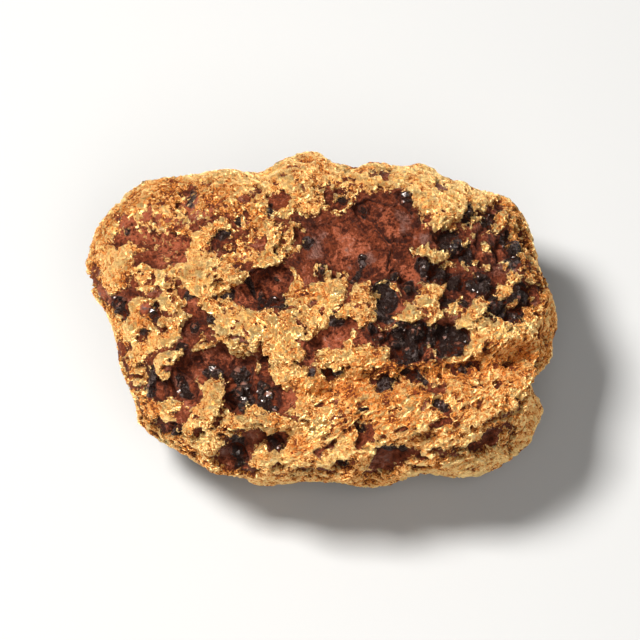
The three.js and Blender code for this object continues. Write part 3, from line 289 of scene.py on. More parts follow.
# Black iron oxide in the ironstone: half width, then the path
OXIDE_PATCHES = [
    (0.9, [(11.3, 7.0), (11.3, 6.3)]), (0.5, [(12.9, 9.6), (13.1, 9.2), (12.6, 8.6)]),
    (0.5, [(14.3, 8.7), (14.6, 8.5)]), (0.8, [(13.8, 3.6), (14.3, 2.6), (14.7, 1.6), (15.3, 0.9)]),
    (0.5, [(16.2, 6.6), (17.0, 6.3), (16.8, 5.5)]), (0.8, [(17.1, 2.4), (17.3, 1.8), (16.0, 1.6)]),
    (0.6, [(16.6, 0.4), (16.9, 0.2)]), (0.4, [(10.5, 1.9), (10.9, 1.7), (11.9, 1.9), (12.3, 1.6)]),
    (0.5, [(9.4, -1.0), (10.0, -1.0)]), (1.0, [(7.2, -1.0), (7.9, -1.7), (7.6, -2.5), (8.6, -1.2)]),
    (1.1, [(10.6, -1.8), (11.6, -1.9), (11.2, -2.4)]), (0.3, [(6.5, -3.5), (7.4, -3.6)]),
    (0.8, [(5.4, 2.9), (5.8, 2.2), (5.4, 1.4)]), (0.5, [(5.2, 0.9), (5.8, 0.3)]),
    (0.4, [(7.4, 3.2), (7.7, 2.6)]), (0.6, [(8.9, 4.3), (9.4, 4.0)]), (0.3, [(6.3, 3.9), (6.9, 3.8)]),
    (0.4, [(4.3, -0.7), (4.9, -1.5), (5.7, -1.5)]), (0.4, [(6.7, -0.5), (7.0, -0.8)]),
    (0.5, [(1.0, 0.3), (1.5, -0.2)]), (0.5, [(0.8, -4.6), (1.8, -4.6)]), (0.3, [(-0.7, -4.5)]),
    (0.5, [(5.2, -5.3), (5.9, -5.3)]), (0.4, [(6.6, -4.8), (7.2, -4.3), (8.9, -4.9)]),
    (0.4, [(0.1, 4.6), (0.2, 4.2)]), (0.4, [(-1.0, 6.9), (-1.1, 6.6)]),
    (0.2, [(3.5, 5.6), (3.6, 4.8), (2.6, 3.6)]), (0.4, [(7.3, 10.5)]), (0.3, [(3.8, 9.4)]),
    (0.3, [(1.9, 10.3)]), (0.3, [(-4.2, 9.7), (-4.1, 9.2)]), (0.5, [(-6.8, 8.7)]),
    (0.3, [(-8.8, 7.2), (-8.0, 7.3)]), (0.5, [(-5.0, 1.8), (-4.5, 1.8), (-3.2, 1.7)]),
    (0.3, [(-6.0, 3.0), (-5.7, 2.7)]), (0.3, [(-8.4, 2.1), (-7.6, 2.2)]), (0.3, [(-7.5, 4.0)]),
    (0.6, [(-17.5, 1.4), (-17.2, 0.5)]), (0.5, [(-14.1, 0.8), (-14.3, 0.4)]), (0.3, [(-15.0, -1.0)]),
    (0.4, [(-9.6, 0.3), (-9.3, 0.1)]), (0.4, [(-11.2, 2.1)]), (0.4, [(-10.8, -0.5)]),
    (0.4, [(-11.9, -2.2), (-11.5, -2.2)]), (0.4, [(-14.6, -4.2), (-14.5, -5.3), (-14.5, -6.1)]),
    (0.6, [(-9.3, -4.3), (-8.7, -4.4)]), (0.6, [(-6.8, -4.5), (-6.5, -5.5), (-6.8, -6.2)]),
    (0.5, [(-5.0, -5.5), (-4.9, -6.6), (-4.4, -7.2)]), (0.5, [(-6.4, -7.4), (-6.0, -6.6)]),
    (0.3, [(-12.2, -9.4), (-12.5, -9.8)]), (0.5, [(-7.0, -10.4), (-7.1, -12.4)]),
    (0.5, [(-4.0, -10.4), (-3.6, -10.8)]), (0.4, [(1.9, -12.4)]), (0.4, [(10.0, -7.0), (10.6, -7.3)]),
    (0.3, [(12.0, -4.2), (12.8, -3.9)]), (0.4, [(3.6, -7.5)]), (0.4, [(5.4, -10.8), (7.0, -11.2)]),
    (0.3, [(3.5, -9.3)]), (0.3, [(-10.9, 10.9), (-11.1, 9.9)]), (0.3, [(-16.6, 7.5)]),
    (0.4, [(-11.9, -4.9), (-11.6, -6.1)]), (0.6, [(8.4, 4.6), (9.6, 4.0), (11.0, 3.6), (12.8, 3.2)]),
    (0.5, [(12.4, 6.4), (12.6, 5.2)]), (0.5, [(16.0, 7.0), (17.2, 5.6), (16.2, 5.0)]),
]

# Bright red and pinkish ironstone: half width, then the path
RED_PATCHES = [
    (0.7, [(14.4, 7.1), (14.6, 5.4)]), (1.4, [(-16.4, 8.2), (-13.6, 8.4), (-12.4, 5.6)]),
    (1.2, [(-10.6, 10.2), (-8.8, 9.6)]), (0.4, [(13.8, 4.0), (13.6, 3.7)]),
    (0.5, [(11.3, 3.2), (11.2, 2.7)]), (0.5, [(13.0, 2.6)]), (0.6, [(9.0, 8.3)]),
    (0.6, [(7.6, 4.3), (7.9, 3.6)]), (0.6, [(4.8, 4.6), (6.0, 4.7)]),
    (0.9, [(1.5, 7.4), (3.0, 6.4), (1.6, 5.6)]), (0.7, [(5.5, 8.8), (6.0, 7.8)]),
    (0.6, [(6.7, 1.6), (6.9, 1.2)]), (0.5, [(7.0, 2.2)]), (0.8, [(1.5, -1.8), (0.6, -1.7)]),
    (0.6, [(-0.9, -2.3), (-0.8, -3.4)]), (0.5, [(3.4, -1.4), (5.0, -2.6)]),
    (0.9, [(-9.6, -3.5), (-10.2, -4.5)]), (0.8, [(-10.6, 1.5)]), (0.6, [(-14.7, 1.1)]),
    (0.9, [(-18.4, 2.2)]), (0.7, [(-13.2, -6.2), (-13.9, -5.9)]), (0.6, [(-10.6, -5.6), (-11.3, -7.2)]),
    (0.7, [(-13.0, -9.1)]), (0.6, [(-7.0, -3.6)]), (0.7, [(-2.6, -6.6)]), (0.7, [(-7.7, -12.4)]),
    (0.5, [(-3.3, -9.9)]), (0.9, [(-4.0, 3.6), (-6.2, 2.3)]), (0.6, [(-12.6, 7.0), (-11.8, 6.5)]),
    (0.6, [(8.2, -4.6)]), (0.4, [(10.4, -6.5)]), (0.5, [(13.3, -10.6)]), (0.8, [(9.9, -3.0), (8.8, -2.4)]),
]

# Ironstone with a painted grey sheen, a painted reflection: half width, then the path
GREY_PATCHES = [
    (0.6, [(-0.4, 5.9), (-0.2, 6.9)]), (0.4, [(0.5, 8.0), (1.3, 6.6)]), (0.5, [(3.6, 5.2), (4.2, 5.6)]),
    (0.5, [(6.7, 9.0), (7.0, 8.3)]), (0.3, [(7.9, 8.9)]), (0.8, [(14.4, 7.0)]),
    (0.8, [(-11.8, -5.3), (-11.4, -6.0)]), (0.6, [(-10.2, -4.3)]), (0.7, [(-13.6, -6.1)]),
    (0.6, [(-18.5, 3.4)]), (0.7, [(-4.6, 3.6)]), (0.8, [(16.2, 4.4), (15.2, 4.4)]), (0.6, [(-8.0, -11.6)]),
    (0.6, [(9.0, 7.2)]),
]

# Iron stain on the gold: half width, strength, then the path
STAINS = [
    (0.8, 0.75, [(5.0, -4.2), (8.0, -4.3), (11.0, -4.3), (13.5, -4.0), (16.0, -3.6), (19.0, -3.0)]),
    (0.7, 0.6, [(12.0, -4.6), (13.5, -4.4)]), (0.7, 0.6, [(9.6, -4.3), (10.6, -5.0)]),
    (0.7, 0.55, [(3.0, -4.6), (6.0, -4.3)]), (0.6, 0.5, [(0.3, -6.0), (1.8, -6.2)]),
    (0.6, 0.6, [(8.4, -6.1), (10.6, -6.5)]), (0.9, 0.5, [(18.0, 2.2), (18.6, 0.4)]),
    (0.6, 0.6, [(17.3, -2.5), (19.2, -2.1)]), (0.7, 0.5, [(16.8, 8.0), (17.4, 6.8)]),
    (0.8, 0.45, [(14.8, -2.6), (17.4, -1.6)]), (0.7, 0.5, [(-2.0, -10.3), (-1.6, -10.6)]),
    (0.5, 0.8, [(-3.6, -8.8)]), (0.8, 0.45, [(-2.0, 2.6), (-0.8, 1.8)]),
    (0.8, 0.45, [(-17.8, 2.6), (-17.2, 3.4)]), (0.9, 0.5, [(-14.2, -7.6), (-14.4, -8.5)]),
    (0.5, 0.6, [(-15.3, -0.1), (-14.9, 0.1)]), (0.6, 0.55, [(-13.6, 8.6), (-11.6, 7.4)]),
    (0.5, 0.5, [(-6.2, 9.0), (-5.7, 8.1)]), (0.6, 0.5, [(17.4, 4.6), (18.6, 4.0)]),
    (0.5, 0.6, [(-1.2, 13.3), (0.4, 13.3)]), (0.7, 0.6, [(9.4, -12.8), (9.8, -12.4)]),
    (0.7, 0.6, [(-5.5, -13.0), (-6.8, -13.1)]), (0.8, 0.5, [(5.6, -13.3), (6.4, -13.1)]),
    (0.6, 0.45, [(3.6, -11.9), (3.0, -12.6)]), (0.6, 0.4, [(-6.9, -9.8), (-8.0, -9.3)]),
    (0.7, 0.4, [(3.4, -2.6), (4.6, -3.0)]),
    (3.0, 0.35, [(4.0, -7.2), (10.0, -7.4), (15.0, -6.4), (18.4, -4.6)]),
    (1.0, 0.4, [(-9.0, -12.6), (-3.0, -13.6), (4.0, -13.6)]),
    (1.0, 0.5, [(-19.2, 7.6), (-19.6, 4.0), (-18.6, 0.6), (-17.0, -4.6), (-14.6, -9.4), (-10.0, -12.2)]),
    (1.0, 0.5, [(15.6, 9.8), (18.2, 5.4), (19.6, 1.4), (19.2, -2.4)]),
    (1.2, 0.4, [(-12.4, 10.4), (-8.0, 10.6), (-5.6, 8.6), (-7.2, 5.4)]),
    (0.9, 0.5, [(-18.2, 8.6), (-15.4, 10.6), (-12.6, 11.6)]),
    (2.6, 0.25, [(8.0, -9.5), (13.0, -9.2), (16.4, -8.6)]),
    (0.8, 0.5, [(-1.6, -5.6), (1.2, -5.8), (3.4, -6.6)]),
]

# Ground where gold and ironstone are mixed as specks: half width, share, then the path
MIXED_AREAS = [
    (1.4, 0.9, [(-16.6, 8.2), (-14.6, 7.6), (-12.8, 6.4), (-12.3, 5.3)]),
    (1.5, 0.9, [(-13.6, 10.0), (-11.6, 9.0), (-9.6, 9.8), (-8.4, 11.2)]),
    (0.9, 0.7, [(-18.7, 8.0), (-19.0, 5.6)]), (1.0, 0.8, [(-15.6, 4.0), (-14.2, 2.6), (-12.8, 3.4)]),
    (1.1, 0.9, [(-8.9, 5.7), (-7.2, 4.9), (-6.2, 6.4), (-6.4, 8.4)]),
    (0.9, 0.8, [(-7.6, 9.6), (-5.4, 10.4), (-4.4, 9.0), (-3.2, 8.2)]),
    (0.9, 0.8, [(17.2, 8.0), (17.7, 5.4), (18.5, 3.2)]), (0.8, 0.6, [(13.9, 0.6), (15.6, -0.4)]),
    (0.9, 0.8, [(2.8, -4.2), (6.8, -4.4), (9.6, -4.4), (12.6, -4.0)]),
    (0.7, 0.7, [(-3.0, -6.9), (-0.8, -7.6)]), (0.8, 0.7, [(-8.6, -9.4), (-6.2, -9.4), (-4.0, -9.2)]),
    (0.9, 0.8, [(-15.6, -6.6), (-14.6, -8.4)]),
    (0.6, 0.9, [(-16.8, -3.0), (-15.8, -7.0), (-14.6, -9.8), (-11.0, -11.8)]),
    (0.7, 0.6, [(2.0, 13.0), (2.8, 11.8), (4.8, 12.4)]),
    (0.7, 0.7, [(-0.4, 10.8), (1.4, 11.6), (3.0, 10.6)]), (0.7, 0.7, [(8.6, 8.6), (9.4, 7.6)]),
    (0.7, 0.7, [(12.4, 7.6), (13.4, 9.4)]), (0.6, 0.6, [(-3.4, 0.2), (-2.6, -0.6)]),
    (0.8, 0.7, [(0.4, -6.2), (2.6, -6.6), (3.6, -9.4)]),
]

# Gold drawn out in fine ridges from lower left to upper right: half width, then the path
RIDGED_AREAS = [
    (2.2, [(5.0, -7.4), (11.0, -7.0), (16.0, -5.0), (18.6, -3.0)]),
    (1.6, [(12.6, -2.2), (16.8, -1.4), (18.4, 0.6)]), (2.0, [(-1.6, -9.8), (2.0, -8.0), (4.4, -5.6)]),
    (1.4, [(7.0, -10.6), (12.0, -11.8)]),
]

# Cracks in the ironstone: half width, then the path
CRACKS = [
    (0.27, [(3.0, 9.9), (3.2, 9.5), (3.8, 9.0), (4.3, 8.6), (4.6, 8.2), (5.1, 7.5), (5.7, 6.9)]),
    (0.2, [(5.7, 6.9), (6.0, 6.4), (5.9, 5.8), (5.7, 5.0)]), (0.12, [(4.6, 9.0), (4.4, 8.7)]),
    (0.13, [(4.0, 10.3), (5.0, 10.0), (6.1, 9.9), (6.6, 10.1), (7.4, 9.7), (7.9, 9.5)]),
    (0.11, [(7.0, 7.6), (7.5, 7.3), (7.45, 6.0), (7.6, 5.4)]),
    (0.05, [(-0.4, 8.0), (0.8, 8.4), (2.0, 8.2), (3.4, 9.1)]), (0.05, [(0.2, 6.4), (1.0, 5.6), (1.2, 4.6)]),
]

# Knobs of ironstone and black oxide: radius, how far they stand, then the place
KNOBS = [
    (1.4, 0.95, (6.3, 8.5)), (0.6, 0.4, (7.9, 8.9)), (0.55, 0.5, (7.3, 10.6)), (0.5, 0.35, (3.8, 9.6)),
    (1.05, 0.6, (11.4, 6.5)), (1.0, 0.45, (14.4, 6.9)), (0.9, 0.4, (14.3, 5.5)), (0.7, 0.35, (16.7, 6.3)),
    (0.75, 0.5, (8.9, 4.4)), (0.6, 0.4, (10.3, 3.8)), (0.6, 0.35, (11.5, 3.3)), (0.7, 0.45, (12.8, 3.1)),
    (0.5, 0.45, (7.5, 2.7)), (0.5, 0.4, (6.6, 3.9)), (0.7, 0.45, (14.2, 2.9)), (0.6, 0.45, (15.2, 1.3)),
    (1.0, 0.45, (16.9, 2.0)), (0.55, 0.4, (16.6, 0.3)), (1.25, 0.6, (11.4, -1.8)), (0.8, 0.55, (8.2, -1.1)),
    (0.8, 0.6, (7.7, -2.4)), (0.45, 0.35, (9.7, -0.9)), (0.6, 0.5, (6.7, -1.7)), (0.5, 0.5, (5.3, -1.4)),
    (0.45, 0.4, (4.1, -0.9)), (0.6, 0.35, (9.3, -2.7)), (0.5, 0.35, (6.7, -3.3)), (0.5, 0.3, (3.7, 4.8)),
    (0.9, 0.7, (-6.8, -4.6)), (0.9, 0.8, (-6.7, -6.0)), (0.7, 0.6, (-6.6, -7.2)), (0.85, 0.6, (-8.9, -4.3)),
    (1.1, 0.55, (-11.8, -5.4)), (0.8, 0.55, (-10.2, -4.4)), (0.7, 0.35, (-13.6, -6.1)),
    (0.6, 0.4, (-10.8, -0.6)), (0.8, 0.5, (-4.3, -6.7)), (0.6, 0.45, (-4.7, -4.3)),
    (0.6, 0.35, (-9.4, 0.2)), (0.5, 0.35, (-5.0, 2.4)), (0.5, 0.35, (-4.0, 2.3)), (0.6, 0.35, (-3.6, 3.6)),
    (0.6, 0.35, (-17.3, 1.0)), (0.5, 0.35, (-14.2, 0.6)), (0.5, 0.35, (-12.4, -9.6)),
    (0.6, 0.35, (-7.2, -11.6)), (0.5, 0.35, (-3.7, -10.6)), (0.5, 0.3, (0.2, 4.5)),
]

# The larger crystals of black oxide, which catch the light: radius, then the place
LARGE_CRYSTALS = [
    (0.42, (7.5, 2.6)), (0.45, (6.6, -1.9)), (0.32, (-4.95, 2.4)), (0.4, (15.0, 1.6)), (0.48, (11.4, 6.3)),
    (0.36, (5.3, -1.4)), (0.44, (8.1, -1.2)), (0.4, (7.5, -2.5)), (0.5, (11.8, -1.9)), (0.4, (10.7, -1.4)),
    (0.55, (-6.9, -4.3)), (0.6, (-6.5, -5.2)), (0.6, (-6.9, -6.1)), (0.5, (-6.4, -6.9)),
    (0.45, (-6.7, -7.6)), (0.5, (-4.7, -5.7)), (0.55, (-4.4, -6.5)), (0.42, (-3.9, -7.1)),
    (0.6, (-9.1, -4.3)), (0.36, (-11.9, -6.2)), (0.36, (-10.8, -0.5)), (0.34, (-8.2, 5.4)),
    (0.4, (9.0, 4.4)), (0.34, (12.6, 3.1)), (0.34, (-17.3, 1.2)), (0.4, (16.7, 0.4)), (0.38, (-14.2, 0.6)),
    (0.34, (-7.1, -11.4)), (0.36, (16.6, 6.4)), (0.34, (-3.7, 3.5)), (0.5, (7.3, 10.6)), (0.4, (9.4, -1.8)),
    (0.45, (12.5, -2.4)), (0.4, (6.4, 3.9)), (0.4, (17.0, 2.0)),
]

# How high the gold stands, and how the ironstone sinks in its windows
GOLD_STANDS = 0.04
GOLD_HIDDEN = 0.97
ROCK_SINKS = 0.34
ROCK_DEEPER = 0.30
ROCK_HIDDEN = 0.45

# Distances from the gold's edge: where the gold rounds off, how far into a window the ironstone goes
# deeper and under the gold is tucked away, how far the edge is felt, and how near it mixed ground is
EDGE_ROUNDING = 0.20
WINDOW_SLOPE = 1.0
TUCK_WIDTH = 0.4
COVER_LIMIT = 1.2
MIXED_DEPTH = 0.08

# The cover round the back, before chance makes its patches
HIDDEN_COVER = 0.28

# Noise in the borders and the relief: strength, size of its lumps, and where its pattern starts
WANDER_RIGHT = (0.12, 0.9, 11.0)
WANDER_UP = (0.12, 0.9, 23.0)
RAGGED_EDGE = [(0.30, 0.55, 3.0), (0.25, 0.3, 5.0)]
HIDDEN_PATCHES = [(0.9, 3.4, 31.0), (0.7, 1.4, 37.0)]
OXIDE_BORDER = (0.35, 0.6, 47.0)
KNOB_UNEVENNESS = (0.35, 0.7, 97.0)
GOLD_CRUMBS = (0.16, 0.5, 67.0)
GOLD_RIDGES = (0.20, 0.42, 75.0)
GOLD_ROUGHNESS = [(0.16, 1.5, 69.0), (0.12, 0.3, 65.0)]
ROCK_GRAINS = (0.10, 0.5, 81.0)
OXIDE_GRAINS = [(0.30, 0.8, 79.0), (0.12, 0.4, 85.0)]
ROCK_ROUGHNESS = [(0.20, 1.4, 91.0), (0.16, 0.8, 83.0), (0.09, 0.35, 89.0)]

# Broken ground: size of its blocks, where its pattern starts, how far one block stands over the next,
# and the depth and width of the joints between them
GOLD_PLATES = (1.0, 61.0, 0.12, 0.16, 0.12)
ROCK_BLOCKS = (1.3, 73.0, 0.18, 0.10, 0.14)

# The noise that says where the ironstone has joints, and over how much of it they fade in
JOINTED_GROUND = (1.0, 2.0, 77.0)
JOINT_FADE = 0.25

# How sharply a grain falls off, and where in the noise each block of broken ground gets its number
GRAIN_SHARPNESS = 1.15
BLOCK_STEP = 3.7
BLOCK_START = Vector((0.5, 0.5, 0.5))

# Cracks, in half widths: how deep they are, how wide their floor is, and where their rim ends
CRACK_STEEPNESS = 3.2
CRACK_FLOOR = 0.2
CRACK_RIM = 1.6

# The power that rounds a knob, the groove round it, and the heights between which the groove fades
KNOB_POWER = 0.75
GROOVE_DEPTH = 0.30
GROOVE_WIDTH = 0.30
GROOVE_FADES = (0.1, 0.4)

# The values between which a patch of chance fades in, and those of the black oxide's border
CHANCE_FADES = (0.1, 0.4)
OXIDE_FADES = (0.2, 0.8)

# How squarely the eye sees the broad face, and the share from which a point belongs to it
SEEN_SQUARELY = 0.25
MOSTLY = 0.5

# The longest edges of a shell's faces: on the broad face, along its cracks, round the back, and hidden
FACE_EDGE = 0.25
CRACK_EDGE = 0.13
BACK_EDGE = 0.5
HIDDEN_EDGE = 0.9

# How far past its edge a mineral gets fine faces, how often they are split, and how near points are one
SHOWN_MARGIN = 0.45
SPLIT_ROUNDS = 3
MERGE_DISTANCE = 0.001

# The six charts that each shell is unfolded into for baking, the broad face the largest:
# the way a chart faces, its own rightward direction, its corner, and its size for each millimetre
FACE_RIGHT = np.array([1.0, 0.0, 0.0])
BAKE_CHARTS = [
    (FACE_OUT, FACE_RIGHT, (0.01, 0.01), 1 / 60),
    (-FACE_OUT, -FACE_RIGHT, (0.01, 0.55), 1 / 120),
    (FACE_UP, FACE_RIGHT, (0.01, 0.81), 1 / 120),
    (-FACE_UP, FACE_RIGHT, (0.37, 0.55), 1 / 120),
    (-FACE_RIGHT, FACE_OUT, (0.73, 0.01), 1 / 120),
    (FACE_RIGHT, -FACE_OUT, (0.73, 0.28), 1 / 120),
]

# The direction in which the ridged gold is drawn out, and how many times longer its grains are
RIDGE_LEAN = math.radians(32)
RIDGE_RUN = math.cos(RIDGE_LEAN) * FACE_RIGHT + math.sin(RIDGE_LEAN) * FACE_UP
RIDGE_STRETCH = 3.5

# Small crystals of black oxide: where one may sit, how large it is and how squat, and how deep it sits
CRYSTAL_COUNT = 170
CRYSTAL_SEED = 7
CRYSTAL_OXIDE = 0.6
CRYSTAL_COVER = -0.12
CRYSTAL_FLOOR = 1.0
SMALLEST_CRYSTAL = 0.12
CRYSTAL_GROWTH = 0.20
MIDDLE_AXIS = (0.65, 1.15)
SHORT_AXIS = (0.5, 1.0)
CRYSTAL_SUNK = 0.25

# What a point that isn't on the broad face counts as further away, so that no large crystal takes it
OUT_OF_REACH = 100.0

# The floor and the lights
FLOOR_REACH = 600.0
WORLD_LIGHT = 0.10


def smooth_step(low, high, values):
    """0 below low, 1 above high, and smooth between them."""
    share = np.clip((values - low) / (high - low), 0.0, 1.0)
    return share * share * (3.0 - 2.0 * share)


def lumps(points, size, shift):
    """Soft noise from -1 to 1, with lumps of the given size."""
    return np.array([noise.noise(p) for p in (points / size + shift).tolist()])


def grains(points, size, shift):
    """Rounded grains that meet in sharp creases, from about -0.5 in the creases to 0.5 on top."""
    away = np.array([noise.voronoi(p)[0][0] for p in (points / size + shift).tolist()])
    return 0.5 - np.minimum(away * GRAIN_SHARPNESS, 1.0) ** 2


def layered(pattern, points, *layers):
    """Layers of lumps or grains, each with its own strength, size and shift."""
    return sum(strength * pattern(points, size, shift) for strength, size, shift in layers)


def cells(points, size, shift):
    """Broken ground: the distance to the next joint between two blocks, and a number for each block."""
    gaps = np.empty(len(points))
    tints = np.empty(len(points))
    for index, p in enumerate((points / size + shift).tolist()):
        distances, centres = noise.voronoi(p)
        gaps[index] = (distances[1] - distances[0]) * size
        tints[index] = noise.noise(centres[0] * BLOCK_STEP + BLOCK_START)
    return gaps, tints


def broken(points, size, shift, step, joint_depth, joint_width, jointed=1.0):
    """Blocks that stand a step higher or lower than the next, with joints between them."""
    gaps, tints = cells(points, size, shift)
    joints = (1.0 - smooth_step(0.0, joint_width, gaps)) * jointed
    return step * tints - joint_depth * joints


def seen_on_face(points):
    """Where the points show on the face, as seen from the eye."""
    from_heart = points - HEART
    out = from_heart @ FACE_OUT
    nearer = 1.0 / (1.0 - out / VIEW_DISTANCE)
    return np.stack([from_heart[:, 0] * nearer, (from_heart @ FACE_UP) * nearer], axis=1)


def path_distance(places, path, closed=False):
    """The distance from each place to a path, or to a single point."""
    corners = np.array(path, float)
    ends = np.roll(corners, -1, axis=0) if closed else corners[1:]
    if len(corners) == 1:
        return np.linalg.norm(places - corners[0], axis=1)
    nearest = np.full(len(places), np.inf)
    for start, end in zip(corners, ends):
        along = end - start
        share = np.clip((places - start) @ along / (along @ along), 0.0, 1.0)
        offset = places - start - share[:, None] * along
        nearest = np.minimum(nearest, np.hypot(offset[:, 0], offset[:, 1]))
    return nearest


def area_distance(places, outline):
    """The distance to an outline, negative inside it."""
    corners = np.array(outline, float)
    inside = np.zeros(len(places), bool)
    for start, end in zip(corners, np.roll(corners, -1, axis=0)):
        run, rise = end - start
        if rise:
            crosses = (start[1] > places[:, 1]) != (end[1] > places[:, 1])
            inside ^= crosses & (places[:, 0] < start[0] + (places[:, 1] - start[1]) * run / rise)
    distance = path_distance(places, outline, closed=True)
    return np.where(inside, -distance, distance)


def near(places, form, margin):
    """The places in or close to a form's box."""
    corners = np.array(form, float)
    low = corners.min(axis=0) - margin
    high = corners.max(axis=0) + margin
    across = np.flatnonzero((places[:, 0] > low[0]) & (places[:, 0] < high[0]))
    up = places[across, 1]
    return across[(up > low[1]) & (up < high[1])]


def gold_cover(places):
    """How far inside the gold each place of the face is, in mm, negative where the gold is missing."""
    cover = np.full(len(places), COVER_LIMIT)
    for outline in BARE_AREAS:
        chosen = near(places, outline, COVER_LIMIT)
        cover[chosen] = np.minimum(cover[chosen], area_distance(places[chosen], outline))
    for outline in GOLD_AREAS:
        chosen = near(places, outline, COVER_LIMIT)
        cover[chosen] = np.maximum(cover[chosen], -area_distance(places[chosen], outline))
    for half_width, path in BARE_STREAKS:
        chosen = near(places, path, COVER_LIMIT + half_width)
        cover[chosen] = np.minimum(cover[chosen], path_distance(places[chosen], path) - half_width)
    for half_width, path in GOLD_FLECKS:
        chosen = near(places, path, COVER_LIMIT + half_width)
        cover[chosen] = np.maximum(cover[chosen], half_width - path_distance(places[chosen], path))
    return np.clip(cover, -COVER_LIMIT, COVER_LIMIT)


def patches(places, forms, softness):
    """1 in the patches, or a patch's own share, fading to 0 over the softness at their edges."""
    share = np.zeros(len(places))
    for half_width, *strength, path in forms:
        most = strength[0] if strength else 1.0
        chosen = near(places, path, half_width + softness)
        beyond = path_distance(places[chosen], path) - half_width
        here = most * (1.0 - smooth_step(-softness, softness, beyond))
        share[chosen] = np.maximum(share[chosen], here)
    return share


def knob_height(places, unevenness):
    """How far the listed knobs stand out of the ironstone, and how deep their grooves are."""
    height = np.zeros(len(places))
    groove = np.zeros(len(places))
    for radius, rise, spot in KNOBS:
        chosen = near(places, [spot], radius + 2.0 * GROOVE_WIDTH)
        away = np.linalg.norm(places[chosen] - np.array(spot), axis=1) + radius * unevenness[chosen]
        dome = rise * np.maximum(1.0 - (away / radius) ** 2, 0.0) ** KNOB_POWER
        height[chosen] = np.maximum(height[chosen], dome)
        ring = 1.0 - smooth_step(0.0, GROOVE_WIDTH, np.abs(away - radius))
        groove[chosen] = np.maximum(groove[chosen], ring)
    return height, GROOVE_DEPTH * groove * (1.0 - smooth_step(*GROOVE_FADES, height))


def crack_depth(places):
    """How deep the cracks in the ironstone are, 0 beside them."""
    depth = np.zeros(len(places))
    for half_width, path in CRACKS:
        chosen = near(places, path, half_width * CRACK_RIM)
        away = path_distance(places[chosen], path) / half_width
        here = CRACK_STEEPNESS * half_width * (1.0 - smooth_step(CRACK_FLOOR, CRACK_RIM, away))
        depth[chosen] = np.maximum(depth[chosen], here)
    return depth


def face_share(points, normals):
    """1 where the eye sees the surface squarely, 0 round the back."""
    to_eye = HEART + FACE_OUT * VIEW_DISTANCE - points
    to_eye /= np.linalg.norm(to_eye, axis=1)[:, None]
    return smooth_step(0.0, SEEN_SQUARELY, (normals * to_eye).sum(axis=1))


def broad_cover(points, places, on_face):
    """The gold's cover all round the nugget, before its edges are made ragged."""
    face_cover = gold_cover(places)
    mixed = patches(places, MIXED_AREAS, softness=0.6)
    face_cover += mixed * (np.clip(face_cover, -MIXED_DEPTH, MIXED_DEPTH) - face_cover)
    hidden_cover = HIDDEN_COVER + layered(lumps, points, *HIDDEN_PATCHES)
    return on_face * face_cover + (1.0 - on_face) * hidden_cover


def points_of(skin):
    """The skin's points in mm, and which way they face."""
    points = np.array([vert.co for vert in skin.verts]) / MM
    return points, np.array([vert.normal for vert in skin.verts])


def split(skin, edges):
    """Cuts the edges in half and keeps the faces triangles."""
    bmesh.ops.subdivide_edges(skin, edges=edges, cuts=1, use_grid_fill=True, use_single_edge=True)
    bmesh.ops.triangulate(skin, faces=[face for face in skin.faces if len(face.verts) > 3])


def relax(skin, times):
    """Rounds the skin off a little."""
    every_way = {"use_axis_x": True, "use_axis_y": True, "use_axis_z": True}
    for _ in range(times):
        bmesh.ops.smooth_vert(skin, verts=skin.verts, factor=0.5, **every_way)
    skin.normal_update()


def smooth_skin():
    """A closed copy of the nugget's solid with its flat faces rounded off."""
    skin = bmesh.new()
    skin.from_mesh(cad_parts["nugget"].data)
    bmesh.ops.remove_doubles(skin, verts=skin.verts, dist=MERGE_DISTANCE * MM)
    split(skin, skin.edges[:])
    relax(skin, 2)
    return skin


def refine(skin, side):
    """Splits the long edges where a mineral shows: the gold where side is 1, the ironstone at -1."""
    for _ in range(SPLIT_ROUNDS):
        points, normals = points_of(skin)
        on_face = face_share(points, normals)
        places = seen_on_face(points)
        shown = broad_cover(points, places, on_face) * side > -SHOWN_MARGIN
        wanted = np.where(shown, BACK_EDGE + on_face * (FACE_EDGE - BACK_EDGE), HIDDEN_EDGE) * MM
        if side < 0.0:
            wanted[(crack_depth(places) > 0.0) & (on_face > MOSTLY)] = CRACK_EDGE * MM
        skin.verts.index_update()
        chosen = []
        for edge in skin.edges:
            first, second = edge.verts
            if edge.calc_length() > 0.5 * (wanted[first.index] + wanted[second.index]):
                chosen.append(edge)
        split(skin, chosen)
        relax(skin, 1)


